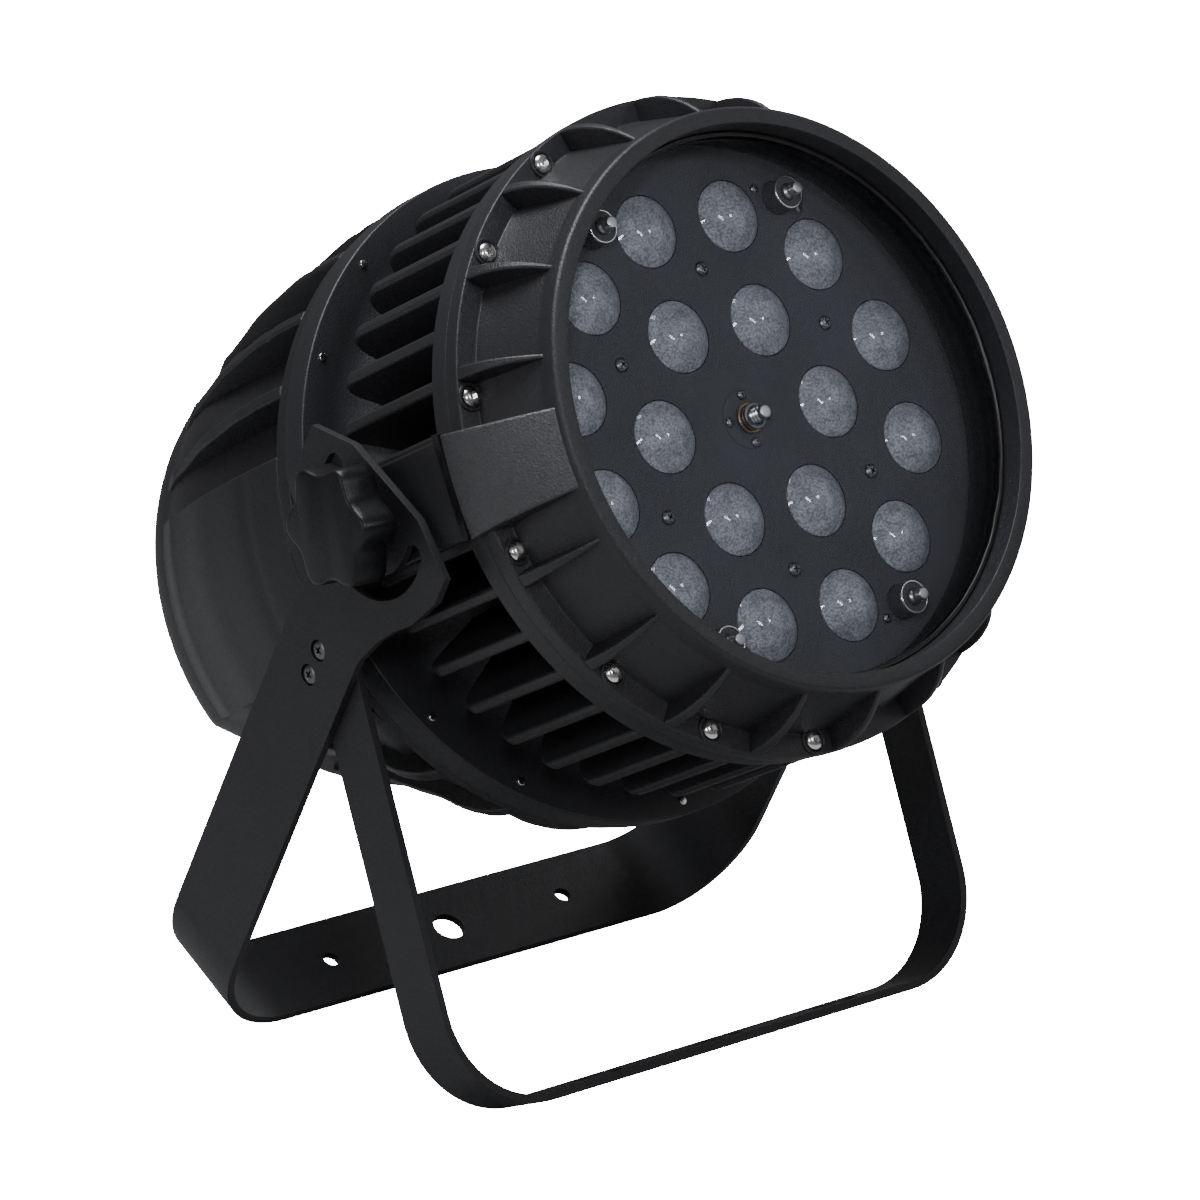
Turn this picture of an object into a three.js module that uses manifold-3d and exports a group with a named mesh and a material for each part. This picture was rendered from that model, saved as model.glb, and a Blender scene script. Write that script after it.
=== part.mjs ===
// Zoom par light: a finned lamp head with a motorised lens carrier, hung in a double yoke floor stand.
// Millimetres, +Z up. X runs along the tilt axis, the lamp looks towards -Y, and z = 0 is the floor.
import * as THREE from 'three';
import { mergeVertices } from 'three/addons/utils/BufferGeometryUtils.js';
import Module from 'manifold-3d';

const wasm = await Module();
wasm.setup();

// ---- driving dimensions -------------------------------------------------------------------------
const GAP = 0.3;                  // clearance between two pieces that touch
const PIVOT_HEIGHT = 291.8;       // tilt axis above the floor
const PIVOT_Y = -61.32;           // puts y = 0 halfway between front and back
const TILT_AT_REST = 25.6;        // optical axis above the horizontal, degrees
const AXIS_DROP = 2;              // optical axis passes this far below the tilt axis

// front bezel: distances z are along the optical axis from the tilt axis, forwards positive
const LIP_RADIUS = 140;
const LIP_BORE = 131.65;
const LIP_FRONT = 113.5;
const FLANGE_RADIUS = 160;
const FLANGE_FRONT = 66;
const FLANGE_REAR = 57;
const BEZEL_BORE = 133.5;
const WALL_FOOT_RADIUS = 145.5;
const RIB_STEP = 18;              // degrees between ribs; the ones at 90 and 270 are the side blocks
const RIB_THICKNESS = 3.5;
const BLOCK_HALF_WIDTH = 25;
const BLOCK_FRONT_SCALE = 0.76;
const BLOCK_REACH = 167;
const BEZEL_SCREW_CIRCLE = 152.5;
const BEZEL_SCREW_ANGLES = [27, 49.5, 76.5, 103.5, 130.5, 153, 175.5];
const GLASS_FRONT = 100;
const GLASS_THICKNESS = 4;
const GLASS_RADIUS = 131.2;

// heat sink
const RING_RADIUS = 159;
const RING_FRONT = 55.8;
const RING_REAR = 44.5;
const FIN_STEP = 9;               // degrees between fins
const FIN_RADIUS = 158.5;
const FIN_THICKNESS = 6.2;
const FIN_REAR = -37.5;
const FIN_CORNER = 14;
const BASE_FRONT = 34;            // face of the base plate that carries the LED board
const BASE_REAR = 22;
const CORE_RADIUS = 112;
const COVE_CENTRE = [150, -17];
const COVE_RADIUS = 38.5;
const RIM_RADIUS = 164;
const RIM_FRONT = -55.5;
const RIM_REAR = -71;
const RIM_FLAT = 159;             // the rim is flattened towards the yoke legs
const SIDE_PANEL_REACH = 164.5;
const SIDE_PANEL_HALF_WIDTH = 23.5;

// rear housing
const HOUSING_FRONT = -72.3;
const HOUSING_FLANGE_REAR = -81;
const HOUSING_RADIUS = 162;
const VALLEY_RADIUS = 142.5;
const HOUSING_WALL = 4;
const HOUSING_END = -270;
const CAP_FRONT = -236;           // the end cap meets the housing here
const HOUSING_FIN_STEP = 15;
const HOUSING_FIN_THICKNESS = 6.5;
const CHEEK_HALF_WIDTH = 51;
const RECESS_RADIUS = 88.5;
const RECESS_FLOOR = -255;
const PANEL_THICKNESS = 3;
const PANEL_FACE = RECESS_FLOOR - GAP - PANEL_THICKNESS;

// zoom optics
const PLATE_RADIUS = 131;
const PLATE_FRONT = 73;
const PLATE_THICKNESS = 3;
const LENS_RADIUS = 17;
const LENS_BODY_RADIUS = 14.9;
const LENS_RINGS = [
  { circle: 51.4, count: 6, first: 30 },
  { circle: 99.3, count: 12, first: 15 },
];
const ROD_CIRCLE = 116;
const ROD_RADIUS = 4;
const ROD_FRONT = 90;
const ROD_ANGLES = [30, 150, 210, 330];
const LEAD_SCREW_RADIUS = 4;
const LEAD_SCREW_FRONT = 87;

// yokes
const STRAP_THICKNESS = 4;
const BEND_RADIUS = 48;           // outside of the bend
const REAR_YOKE = { lean: 30.3, halfWidth: 172.5, strap: 50.8 };
const FRONT_YOKE = { lean: 20.96, halfWidth: 168.2, strap: 31, setback: 61.4, top: 62 };
const FRONT_TAB = [[44.6, 56.3], [64.6, 31.3], [97.4, 57.6], [77.4, 82.6]];  // lies along the rear strap
const HEAD_PLATE_RADIUS = 53.5;
const HEAD_PLATE_TOP = -22.2;
const HEAD_PLATE_TOP_HALF = 26.8;
const HEAD_PLATE_SHOULDER = -11;
const HEAD_PLATE_FILLET = 22;
const SLOT_RADIUS = 32.75;
const SLOT_HALF_WIDTH = 5.75;
const SLOT_SPAN = 95;             // degrees each side of the strap
const STOP_PIN_RADIUS = 4.9;
const STOP_PIN_AT = [-8.7, -31];   // in the slot at rest, across and along the optical axis
const BAR_HOLE_PITCH = 76;
const YOKE_SCREW_ROWS = [83.2, 98.7];
const YOKE_SCREW_HEAD = 4.6;
const YOKE_SCREW_SHANK = 2.4;

// knobs
const STUD_RADIUS = 4;
const KNOB_BACK = 180.3;
const KNOB_FACE = 199.7;
const KNOB_MEAN_RADIUS = 27.5;
const KNOB_LOBE = 3.3;
const KNOB_LOBES = 6;
const KNOB_HUB_RADIUS = 13;

const AROUND = 40;                // facets of the large turned pieces
const HOUSING_AROUND = 48;        // so that a facet edge runs under each housing fin
const DEG = Math.PI / 180;

// ---- shape helpers ------------------------------------------------------------------------------
function signedVolume(position, index) {
  const a = new THREE.Vector3();
  const b = new THREE.Vector3();
  const c = new THREE.Vector3();
  let total = 0;
  for (let i = 0; i < index.length; i += 3) {
    a.fromBufferAttribute(position, index[i]);
    b.fromBufferAttribute(position, index[i + 1]);
    c.fromBufferAttribute(position, index[i + 2]);
    total += a.dot(b.cross(c)) / 6;
  }
  return total;
}

function toSolid(geometry) {
  const bare = geometry.clone();
  bare.deleteAttribute('normal');
  bare.deleteAttribute('uv');
  const merged = mergeVertices(bare, 1e-4);
  const position = merged.getAttribute('position');
  const index = merged.index.array;
  const outward = signedVolume(position, index) > 0;
  const kept = [];
  for (let i = 0; i < index.length; i += 3) {
    const [a, b, c] = [index[i], index[i + 1], index[i + 2]];
    if (a !== b && b !== c && c !== a) kept.push(...(outward ? [a, b, c] : [a, c, b]));
  }
  const vertProperties = new Float32Array(position.array);
  return new wasm.Manifold(new wasm.Mesh({ numProp: 3, vertProperties, triVerts: new Uint32Array(kept) }));
}

function toGeometry(solid) {
  const mesh = solid.getMesh();
  const geometry = new THREE.BufferGeometry();
  geometry.setAttribute('position', new THREE.BufferAttribute(new Float32Array(mesh.vertProperties), 3));
  geometry.setIndex(Array.from(mesh.triVerts));
  const flat = geometry.toNonIndexed();
  flat.computeVertexNormals();
  return flat;
}

// a closed outline of [radius, z] points turned about the z axis
function turned(outline, around = AROUND) {
  const onAxis = outline[0][0] === 0;
  const points = outline.map(([radius, z]) => new THREE.Vector2(radius, z));
  if (!onAxis) points.push(points[0].clone());
  return toSolid(new THREE.LatheGeometry(points, around).rotateX(Math.PI / 2));
}

// a flat outline of [x, y] points, with round or shaped holes, between two heights
function slab(outline, from, to, holes = []) {
  const shape = new THREE.Shape(outline.map(([x, y]) => new THREE.Vector2(x, y)));
  for (const hole of holes) shape.holes.push(new THREE.Path(hole.map(([x, y]) => new THREE.Vector2(x, y))));
  const geometry = new THREE.ExtrudeGeometry(shape, { depth: to - from, bevelEnabled: false });
  return toSolid(geometry.translate(0, 0, from));
}

function rod(radius, from, to, around = 16, x = 0, y = 0) {
  return slab(circle(radius, around, x, y), from, to);
}

function block(x0, x1, y0, y1, z0, z1) {
  return slab([[x0, y0], [x1, y0], [x1, y1], [x0, y1]], z0, z1);
}

function circle(radius, around = 16, x = 0, y = 0) {
  return arc(x, y, radius, 0, 360 * (1 - 1 / around), around - 1);
}

function arc(x, y, radius, from, to, steps) {
  const points = [];
  for (let i = 0; i <= steps; i += 1) {
    const angle = (from + ((to - from) * i) / steps) * DEG;
    points.push([x + radius * Math.cos(angle), y + radius * Math.sin(angle)]);
  }
  return points;
}

// a point on a circle about the optical axis; 0 degrees is up and 90 is +X
function clock(radius, angle) {
  return [radius * Math.sin(angle * DEG), radius * Math.cos(angle * DEG)];
}

// an outline of [radius, z] points made into a plate that stands radially at a clock angle
function radialPlate(outline, thickness, angle) {
  const shape = new THREE.Shape(outline.map(([radius, z]) => new THREE.Vector2(radius, z)));
  const geometry = new THREE.ExtrudeGeometry(shape, { depth: thickness, bevelEnabled: false });
  geometry.translate(0, 0, -thickness / 2);
  const [outX, outY] = clock(1, angle);
  const basis = new THREE.Matrix4().makeBasis(
    new THREE.Vector3(outX, outY, 0),
    new THREE.Vector3(0, 0, 1),
    new THREE.Vector3(outY, -outX, 0),
  );
  return toSolid(geometry.applyMatrix4(basis));
}

function joined(solids) {
  return solids.reduce((whole, solid) => whole.add(solid));
}

function cut(solid, tools) {
  return tools.reduce((whole, tool) => whole.subtract(tool), solid);
}

// turn a solid built along z so that it lies along +X or -X
function alongX(geometry, side) {
  return geometry.rotateY((side * Math.PI) / 2);
}

function piece(parent, name, solid, colour, roughness, metalness = 0) {
  const material = new THREE.MeshStandardMaterial({ color: colour, roughness, metalness });
  const geometry = solid.isBufferGeometry ? solid : toGeometry(solid);
  const mesh = new THREE.Mesh(geometry, material);
  mesh.name = name;
  parent.add(mesh);
  return mesh;
}

// ---- lamp head ----------------------------------------------------------------------------------
const ribAngles = [];
for (let angle = 0; angle < 360; angle += RIB_STEP) {
  if (angle % 180 !== 90) ribAngles.push(angle);
}

const bezelScrewAngles = [...BEZEL_SCREW_ANGLES, ...BEZEL_SCREW_ANGLES.map((angle) => angle + 180)]
  .map((angle) => (360 - angle) % 360);

function frontBezel() {
  const body = turned([
    [BEZEL_BORE, FLANGE_REAR], [FLANGE_RADIUS, FLANGE_REAR], [FLANGE_RADIUS, FLANGE_FRONT],
    [WALL_FOOT_RADIUS, FLANGE_FRONT], [LIP_RADIUS, 104], [LIP_RADIUS, LIP_FRONT - 2.5],
    [LIP_RADIUS - 2.2, LIP_FRONT], [LIP_BORE, LIP_FRONT], [LIP_BORE, GLASS_FRONT - GLASS_THICKNESS - GAP],
    [LIP_BORE - 3, GLASS_FRONT - GLASS_THICKNESS - GAP], [LIP_BORE - 3, 93.5], [BEZEL_BORE, 91],
  ]);
  const ribOutline = [
    [138, FLANGE_FRONT - 1], [FLANGE_RADIUS - 0.4, FLANGE_FRONT - 1], [FLANGE_RADIUS - 0.4, FLANGE_FRONT + 1],
    [157.5, 76], [153.5, 86], [147.5, 96], [LIP_RADIUS, 107], [138, 105],
  ];
  const ribs = ribAngles.map((angle) => radialPlate(ribOutline, RIB_THICKNESS, angle));
  const holes = bezelScrewAngles.map((angle) => {
    const [x, y] = clock(BEZEL_SCREW_CIRCLE, angle);
    return rod(2.7, FLANGE_REAR - 1, FLANGE_FRONT + 1, 8, x, y);
  });
  return cut(joined([body, ...ribs, sideBlock(1), sideBlock(-1)]), holes);
}

function sideBlock(side) {
  const outline = [
    [136.5, FLANGE_REAR], [BLOCK_REACH, FLANGE_REAR], [166, 70], [161, 86], [152, 100], [140.5, 111.5],
    [136.5, 111.5],
  ];
  const shape = new THREE.Shape(outline.map(([x, z]) => new THREE.Vector2(x, z)));
  const geometry = new THREE.ExtrudeGeometry(shape, { depth: 2, bevelEnabled: false });
  geometry.translate(0, 0, -1).rotateX(Math.PI / 2);
  const position = geometry.getAttribute('position');
  const length = 111.5 - FLANGE_REAR;
  for (let i = 0; i < position.count; i += 1) {
    const forwards = (position.getZ(i) - FLANGE_REAR) / length;
    const half = BLOCK_HALF_WIDTH * (1 + (BLOCK_FRONT_SCALE - 1) * forwards);
    position.setXYZ(i, side * position.getX(i), Math.sign(position.getY(i)) * half, position.getZ(i));
  }
  return toSolid(geometry);
}

// the hollow curve where the core of the heat sink sweeps out to its rear rim
function cove(radius, steps) {
  return arc(COVE_CENTRE[0], COVE_CENTRE[1], radius, 180, 270, steps);
}

function heatSink() {
  const core = turned([
    [BEZEL_BORE, BASE_FRONT], [BEZEL_BORE, RING_FRONT], [RING_RADIUS, RING_FRONT], [RING_RADIUS, RING_REAR],
    [BEZEL_BORE + 4, RING_REAR], [BEZEL_BORE + 4, BASE_FRONT - 4], [CORE_RADIUS, BASE_FRONT - 4],
    ...cove(COVE_RADIUS, 4), [RIM_RADIUS, RIM_FRONT], [RIM_RADIUS, RIM_REAR], [150, RIM_REAR],
    ...cove(COVE_RADIUS + 6, 3).reverse(), [COVE_CENTRE[0] - COVE_RADIUS - 6, BASE_REAR], [6, BASE_REAR],
    [6, BASE_FRONT],
  ]);
  const flats = block(-RIM_FLAT, RIM_FLAT, -170, 170, -80, 60);
  const finOutline = [
    [CORE_RADIUS - 4, BASE_FRONT - 3], [BEZEL_BORE + 1, BASE_FRONT - 3], [BEZEL_BORE + 1, RING_REAR + 1],
    [FIN_RADIUS, RING_REAR + 1],
    ...arc(FIN_RADIUS - FIN_CORNER, FIN_REAR + FIN_CORNER, FIN_CORNER, 0, -90, 3),
    [116, FIN_REAR], [CORE_RADIUS - 4, -22],
  ];
  const fins = [];
  for (let angle = 0; angle < 360; angle += FIN_STEP) {
    if (angle % 180 !== 90) fins.push(radialPlate(finOutline, FIN_THICKNESS, angle));
  }
  const sides = [-1, 1].map((side) => sidePanel(side));
  const bores = ROD_ANGLES.map((angle) => {
    const [x, y] = clock(ROD_CIRCLE, angle);
    return rod(ROD_RADIUS + GAP, BASE_FRONT - 3, BASE_FRONT + 1, 12, x, y);
  });
  const body = joined([core.intersect(flats), ...fins, ...sides.map((side) => side.boss)]);
  return cut(body, [...bores, ...sides.map((side) => side.bore)]);
}

// flat panel that carries the pivot stud and the tilt stop pin
function sidePanel(side) {
  const panel = radialPlate([
    [CORE_RADIUS - 4, BASE_FRONT - 3], [BEZEL_BORE + 1.5, BASE_FRONT - 3], [BEZEL_BORE + 1.5, RING_FRONT],
    [SIDE_PANEL_REACH, RING_FRONT], [SIDE_PANEL_REACH, RIM_FRONT - 1.5],
    ...cove(COVE_RADIUS + 2.5, 3).reverse(),
  ], 2 * SIDE_PANEL_HALF_WIDTH, side * 90);
  const pin = alongX(circleRod(STOP_PIN_RADIUS, SIDE_PANEL_REACH - 4, REAR_YOKE.halfWidth + 2, 14), side);
  const bore = alongX(circleRod(STUD_RADIUS + 0.6, 138, SIDE_PANEL_REACH + 1, 14), side);
  return {
    boss: panel.add(toSolid(pin.translate(0, STOP_PIN_AT[0], STOP_PIN_AT[1]))),
    bore: toSolid(bore.translate(0, AXIS_DROP, 0)),
  };
}

function circleRod(radius, from, to, around) {
  const cylinder = new THREE.CylinderGeometry(radius, radius, to - from, around);
  return cylinder.rotateX(Math.PI / 2).translate(0, 0, (from + to) / 2);
}

// outer surface that the rear fins and the cheeks share
const HOUSING_ENVELOPE = [
  [HOUSING_RADIUS, HOUSING_FLANGE_REAR + 1], [161.5, -105], [160, -123], [157, -146], [153, -165],
  [148.5, -186], [143.5, -205], [138, -222],
];

function rearHousing() {
  const body = turned([
    [VALLEY_RADIUS - HOUSING_WALL, HOUSING_FRONT], [HOUSING_RADIUS, HOUSING_FRONT],
    [HOUSING_RADIUS, HOUSING_FLANGE_REAR], [VALLEY_RADIUS, HOUSING_FLANGE_REAR], [VALLEY_RADIUS, -200],
    [138.5, -220], [132.1, CAP_FRONT + GAP], [126.2, CAP_FRONT + GAP], [134, -218],
    [VALLEY_RADIUS - HOUSING_WALL, -198],
  ], HOUSING_AROUND);
  const upperFin = [...HOUSING_ENVELOPE, [136, -216], [140, -196], [140, HOUSING_FLANGE_REAR + 1]];
  const lowerFin = [
    [140, HOUSING_FLANGE_REAR + 1], [HOUSING_RADIUS, HOUSING_FLANGE_REAR + 1], [161, -88], [158, -103],
    [150.5, -124], [140, -145],
  ];
  const fins = [];
  for (let angle = 0; angle <= 180; angle += HOUSING_FIN_STEP) {
    if (angle <= 60 || angle >= 120) {
      for (const turn of angle % 180 ? [angle, 360 - angle] : [angle]) {
        fins.push(radialPlate(angle < 90 ? upperFin : lowerFin, HOUSING_FIN_THICKNESS, turn));
      }
    }
  }
  const cheekRing = turned(upperFin, HOUSING_AROUND);
  const cheeks = [[-170, -100], [100, 170]].map(([from, to]) => (
    cheekRing.intersect(block(from, to, -CHEEK_HALF_WIDTH, CHEEK_HALF_WIDTH, -230, -70))
  ));
  return joined([body, ...fins, ...cheeks]);
}

// domed end of the housing with the recess for the rear panel
function rearCap() {
  return turned([
    [126.2, CAP_FRONT], [132, CAP_FRONT], [116.5, -257], [104, -267.5], [99, HOUSING_END],
    [RECESS_RADIUS, HOUSING_END], [RECESS_RADIUS, RECESS_FLOOR], [80, RECESS_FLOOR], [80, RECESS_FLOOR + 3],
    [111, -252],
  ], HOUSING_AROUND);
}

function lensProfile() {
  const dome = arc(0, PLATE_FRONT - 2.2, 16, 16.3, 90, 3);
  return [
    [0, 62], [9, 62], [LENS_BODY_RADIUS, PLATE_FRONT - 3], [LENS_BODY_RADIUS, PLATE_FRONT + GAP],
    [LENS_RADIUS, PLATE_FRONT + GAP], ...dome.slice(0, -1),
    [0, PLATE_FRONT - 2.2 + 16],
  ];
}

const lensPlaces = LENS_RINGS.flatMap(({ circle: radius, count, first }) => (
  Array.from({ length: count }, (unused, i) => clock(radius, first + (360 / count) * i))
));

function lensPlate() {
  const openings = [
    ...lensPlaces.map(([x, y]) => circle(LENS_BODY_RADIUS + GAP, 12, x, y)),
    ...ROD_ANGLES.map((angle) => circle(8.5, 12, ...clock(ROD_CIRCLE, angle))),
    circle(7.6, 12),
  ];
  return slab(circle(PLATE_RADIUS, AROUND), PLATE_FRONT - PLATE_THICKNESS, PLATE_FRONT, openings);
}

function leadNut() {
  return turned([
    [LEAD_SCREW_RADIUS + GAP, 60], [7.3, 60], [7.3, PLATE_FRONT + GAP], [15, PLATE_FRONT + GAP],
    [15, PLATE_FRONT + 2.3], [6.5, PLATE_FRONT + 2.3], [6.5, PLATE_FRONT + 5],
    [LEAD_SCREW_RADIUS + GAP, PLATE_FRONT + 5],
  ], 16);
}

function ledBoard() {
  const holes = [circle(6, 12), ...ROD_ANGLES.map((angle) => circle(6, 10, ...clock(ROD_CIRCLE, angle)))];
  return slab(circle(126, AROUND), BASE_FRONT + GAP, BASE_FRONT + 2, holes);
}

function ring(inner, outer, from, to, around = AROUND) {
  return turned([[inner, from], [outer, from], [outer, to], [inner, to]], around);
}

function rearPanel() {
  const holes = buttonPlaces.map(([x, y]) => circle(BUTTON_RADIUS + GAP, 10, x, y));
  return slab(circle(RECESS_RADIUS - 0.5, 40), PANEL_FACE, RECESS_FLOOR - GAP, holes);
}

const BUTTON_RADIUS = 3.6;
const buttonPlaces = [-27, -9, 9, 27].map((x) => [x, 8]);
const SOCKETS = {
  power_in_socket: { at: [-32, -30], radius: 13, bore: 10.5 },
  power_out_socket: { at: [32, -30], radius: 13, bore: 10.5 },
  signal_in_socket: { at: [-15, -60], radius: 10, bore: 7.8 },
  signal_out_socket: { at: [15, -60], radius: 10, bore: 7.8 },
};

function socket({ at: [x, y], radius, bore }) {
  const back = PANEL_FACE - GAP;
  return rod(radius, back - 8, back, 20, x, y).subtract(rod(bore, back - 9, back - 2, 20, x, y));
}

function safetyEye() {
  const path = new THREE.CurvePath();
  const corners = [[-11, 3], [-11, -4], [-7, -10], [0, -12], [7, -10], [11, -4], [11, 3]];
  const points = corners.map(([x, z]) => new THREE.Vector3(x, 68, PANEL_FACE - GAP + z));
  path.add(new THREE.CatmullRomCurve3(points));
  const section = new THREE.Shape(circle(2.6, 8).map(([x, y]) => new THREE.Vector2(x, y)));
  const settings = { steps: 14, bevelEnabled: false, extrudePath: path };
  const bow = toSolid(new THREE.ExtrudeGeometry(section, settings));
  const back = PANEL_FACE - GAP;
  return bow.intersect(block(-20, 20, 50, 80, back - 20, back));
}

// ---- assembly of the head -----------------------------------------------------------------------
const object = new THREE.Group();
const head = new THREE.Group();
head.position.set(0, PIVOT_Y, PIVOT_HEIGHT);
head.rotation.x = (90 - TILT_AT_REST) * DEG;
object.add(head);
const optics = new THREE.Group();
optics.position.y = -AXIS_DROP;
head.add(optics);

const BLACK = 0x1c1c1e;
const STEEL = 0xb8b8b4;
piece(optics, 'front_bezel', frontBezel(), BLACK, 0.55);
piece(optics, 'front_glass', turned([
  [0, GLASS_FRONT - GLASS_THICKNESS], [GLASS_RADIUS, GLASS_FRONT - GLASS_THICKNESS],
  [GLASS_RADIUS, GLASS_FRONT], [0, GLASS_FRONT],
]), 0xd8e0e4, 0.05);
piece(optics, 'glass_gasket', ring(127.6, 131.3, GLASS_FRONT + GAP, GLASS_FRONT + 2.6), 0x0c0c0c, 0.4);
const bezelGasket = ring(BEZEL_BORE + 2, 158.4, RING_FRONT + GAP, FLANGE_REAR - GAP);
piece(optics, 'bezel_gasket', bezelGasket, 0x0a0a0a, 0.8);
piece(optics, 'heat_sink', heatSink(), BLACK, 0.6, 0.2);
piece(optics, 'rear_gasket', ring(151, 158, HOUSING_FRONT + GAP, RIM_REAR - GAP), 0x0a0a0a, 0.8);
piece(optics, 'rear_housing', rearHousing(), BLACK, 0.6);
piece(optics, 'rear_cap', rearCap(), BLACK, 0.6);
piece(optics, 'led_board', ledBoard(), 0xe8e8e4, 0.5);
ROD_ANGLES.forEach((angle, i) => {
  const [x, y] = clock(ROD_CIRCLE, angle);
  piece(optics, `guide_rod_${i + 1}`, rod(ROD_RADIUS, BASE_FRONT - 2.6, ROD_FRONT, 12, x, y), STEEL, 0.25, 1);
});
piece(optics, 'stepper_motor', block(-21, 21, -21, 21, BASE_REAR - 38, BASE_REAR - GAP), 0x2a2a2c, 0.4, 0.6);
piece(optics, 'chassis_tray', block(-137.4, 137.4, -12, -10, -185, -76), 0x9a9c9e, 0.4, 0.8);
piece(optics, 'power_supply', block(-55, 55, -9.7, 34, -184, -84), 0xa8aaac, 0.4, 0.8);
piece(optics, 'driver_board', block(-60, 60, -14, -12.3, -180, -90), 0x1f5a34, 0.5);
piece(optics, 'rear_panel', rearPanel(), BLACK, 0.6);
const display = block(-27, 27, 22, 46, PANEL_FACE - GAP - 1.6, PANEL_FACE - GAP);
piece(optics, 'display_window', display, 0x0b1014, 0.08);
buttonPlaces.forEach(([x, y], i) => {
  const button = rod(BUTTON_RADIUS, PANEL_FACE - 2.4, RECESS_FLOOR - GAP, 12, x, y);
  piece(optics, `button_${i + 1}`, button, 0x303234, 0.6);
});
for (const [name, plan] of Object.entries(SOCKETS)) piece(optics, name, socket(plan), 0x141416, 0.5);
piece(optics, 'vent_valve', rod(8, PANEL_FACE - GAP - 6, PANEL_FACE - GAP, 6, 62, 20), 0x101012, 0.6);
piece(optics, 'safety_eye', safetyEye(), STEEL, 0.3, 1);

// zoom carrier and its lead screw
piece(optics, 'lens_plate', lensPlate(), 0x3e4045, 0.5);
piece(optics, 'lead_nut', leadNut(), 0xb08a4a, 0.35, 1);
lensPlaces.forEach(([x, y], i) => {
  const name = `lens_${String(i + 1).padStart(2, '0')}`;
  const lens = piece(optics, name, turned(lensProfile(), 12), 0x9aa0a6, 0.35);
  lens.position.set(x, y, 0);
});
piece(optics, 'lead_screw', rod(LEAD_SCREW_RADIUS, BASE_REAR + 1, LEAD_SCREW_FRONT, 16), STEEL, 0.25, 1);

// ---- yokes --------------------------------------------------------------------------------------
// In a yoke's own frame x is lateral, y runs down the strap from the tilt axis, z runs across it.
function legLength(lean, lowEdge) {
  return (PIVOT_HEIGHT - lowEdge * Math.sin(lean * DEG)) / Math.cos(lean * DEG);
}

function strapOutline(halfWidth, top, length) {
  const inside = BEND_RADIUS - STRAP_THICKNESS;
  const centreX = halfWidth - BEND_RADIUS;
  const centreY = length - BEND_RADIUS;
  return [
    [-halfWidth, top], ...arc(-centreX, centreY, BEND_RADIUS, 180, 90, 8),
    ...arc(centreX, centreY, BEND_RADIUS, 90, 0, 8), [halfWidth, top], [halfWidth - STRAP_THICKNESS, top],
    ...arc(centreX, centreY, inside, 0, 90, 8), ...arc(-centreX, centreY, inside, 90, 180, 8),
    [-halfWidth + STRAP_THICKNESS, top],
  ];
}

// a round tool across the bar, for a hole at x on the middle of the strap
function barHole(radius, x, length, across, around) {
  const tool = new THREE.CylinderGeometry(radius, radius, 3 * STRAP_THICKNESS, around);
  return toSolid(tool.translate(x, length - STRAP_THICKNESS / 2, across));
}

// outline of the widened plate round the tilt axis, in [z, y] of the yoke's frame
function headPlateOutline(halfStrap) {
  const filletZ = halfStrap + HEAD_PLATE_FILLET;
  const filletY = Math.sqrt((HEAD_PLATE_RADIUS + HEAD_PLATE_FILLET) ** 2 - filletZ ** 2);
  const join = Math.atan2(filletY, filletZ) / DEG;
  const half = [
    [HEAD_PLATE_TOP_HALF, HEAD_PLATE_TOP], [HEAD_PLATE_RADIUS, HEAD_PLATE_SHOULDER],
    ...arc(0, 0, HEAD_PLATE_RADIUS, 3, join, 6),
    ...arc(filletZ, filletY, HEAD_PLATE_FILLET, 180 + join, 180, 5).slice(1),
    [halfStrap, 90],
  ];
  return [...half, ...half.map(([z, y]) => [-z, y]).reverse()];
}

function slotOutline() {
  const inner = SLOT_RADIUS - SLOT_HALF_WIDTH;
  const outer = SLOT_RADIUS + SLOT_HALF_WIDTH;
  const [from, to] = [90 - SLOT_SPAN, 90 + SLOT_SPAN];
  const end = (angle, turn) => {
    const [[z, y]] = arc(0, 0, SLOT_RADIUS, angle, angle, 1);
    return arc(z, y, SLOT_HALF_WIDTH, turn, turn + 180, 5).slice(1, -1);
  };
  return [
    ...arc(0, 0, outer, from, to, 20), ...end(to, to),
    ...arc(0, 0, inner, to, from, 20), ...end(from, from + 180),
  ];
}

// a flat [z, y] outline as a plate in the side of a yoke
function sidePlate(outline, side, face, holes = []) {
  const basis = new THREE.Matrix4().makeBasis(
    new THREE.Vector3(0, 0, 1), new THREE.Vector3(0, 1, 0), new THREE.Vector3(-1, 0, 0),
  );
  const plate = toGeometry(slab(outline, 0, STRAP_THICKNESS, holes));
  return toSolid(plate.applyMatrix4(basis).translate(side > 0 ? face : STRAP_THICKNESS - face, 0, 0));
}

function rearYoke(length) {
  const half = REAR_YOKE.strap / 2;
  const strap = slab(strapOutline(REAR_YOKE.halfWidth, 60, length), -half, half);
  const holes = [slotOutline(), circle(STUD_RADIUS + 0.6, 16)];
  const plates = [-1, 1].map((side) => sidePlate(headPlateOutline(half), side, REAR_YOKE.halfWidth, holes));
  const barHoles = [
    barHole(10.5, 0, length, 0, 24), barHole(5, -BAR_HOLE_PITCH, length, 0, 16),
    barHole(5, BAR_HOLE_PITCH, length, 0, 16),
  ];
  const sinks = yokeScrewPlaces.map(({ side, row }) => screwTool(side, row, GAP));
  return cut(joined([strap, ...plates]), [...barHoles, ...sinks]);
}

const yokeScrewPlaces = [-1, 1].flatMap((side) => YOKE_SCREW_ROWS.map((row) => ({ side, row })));

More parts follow.
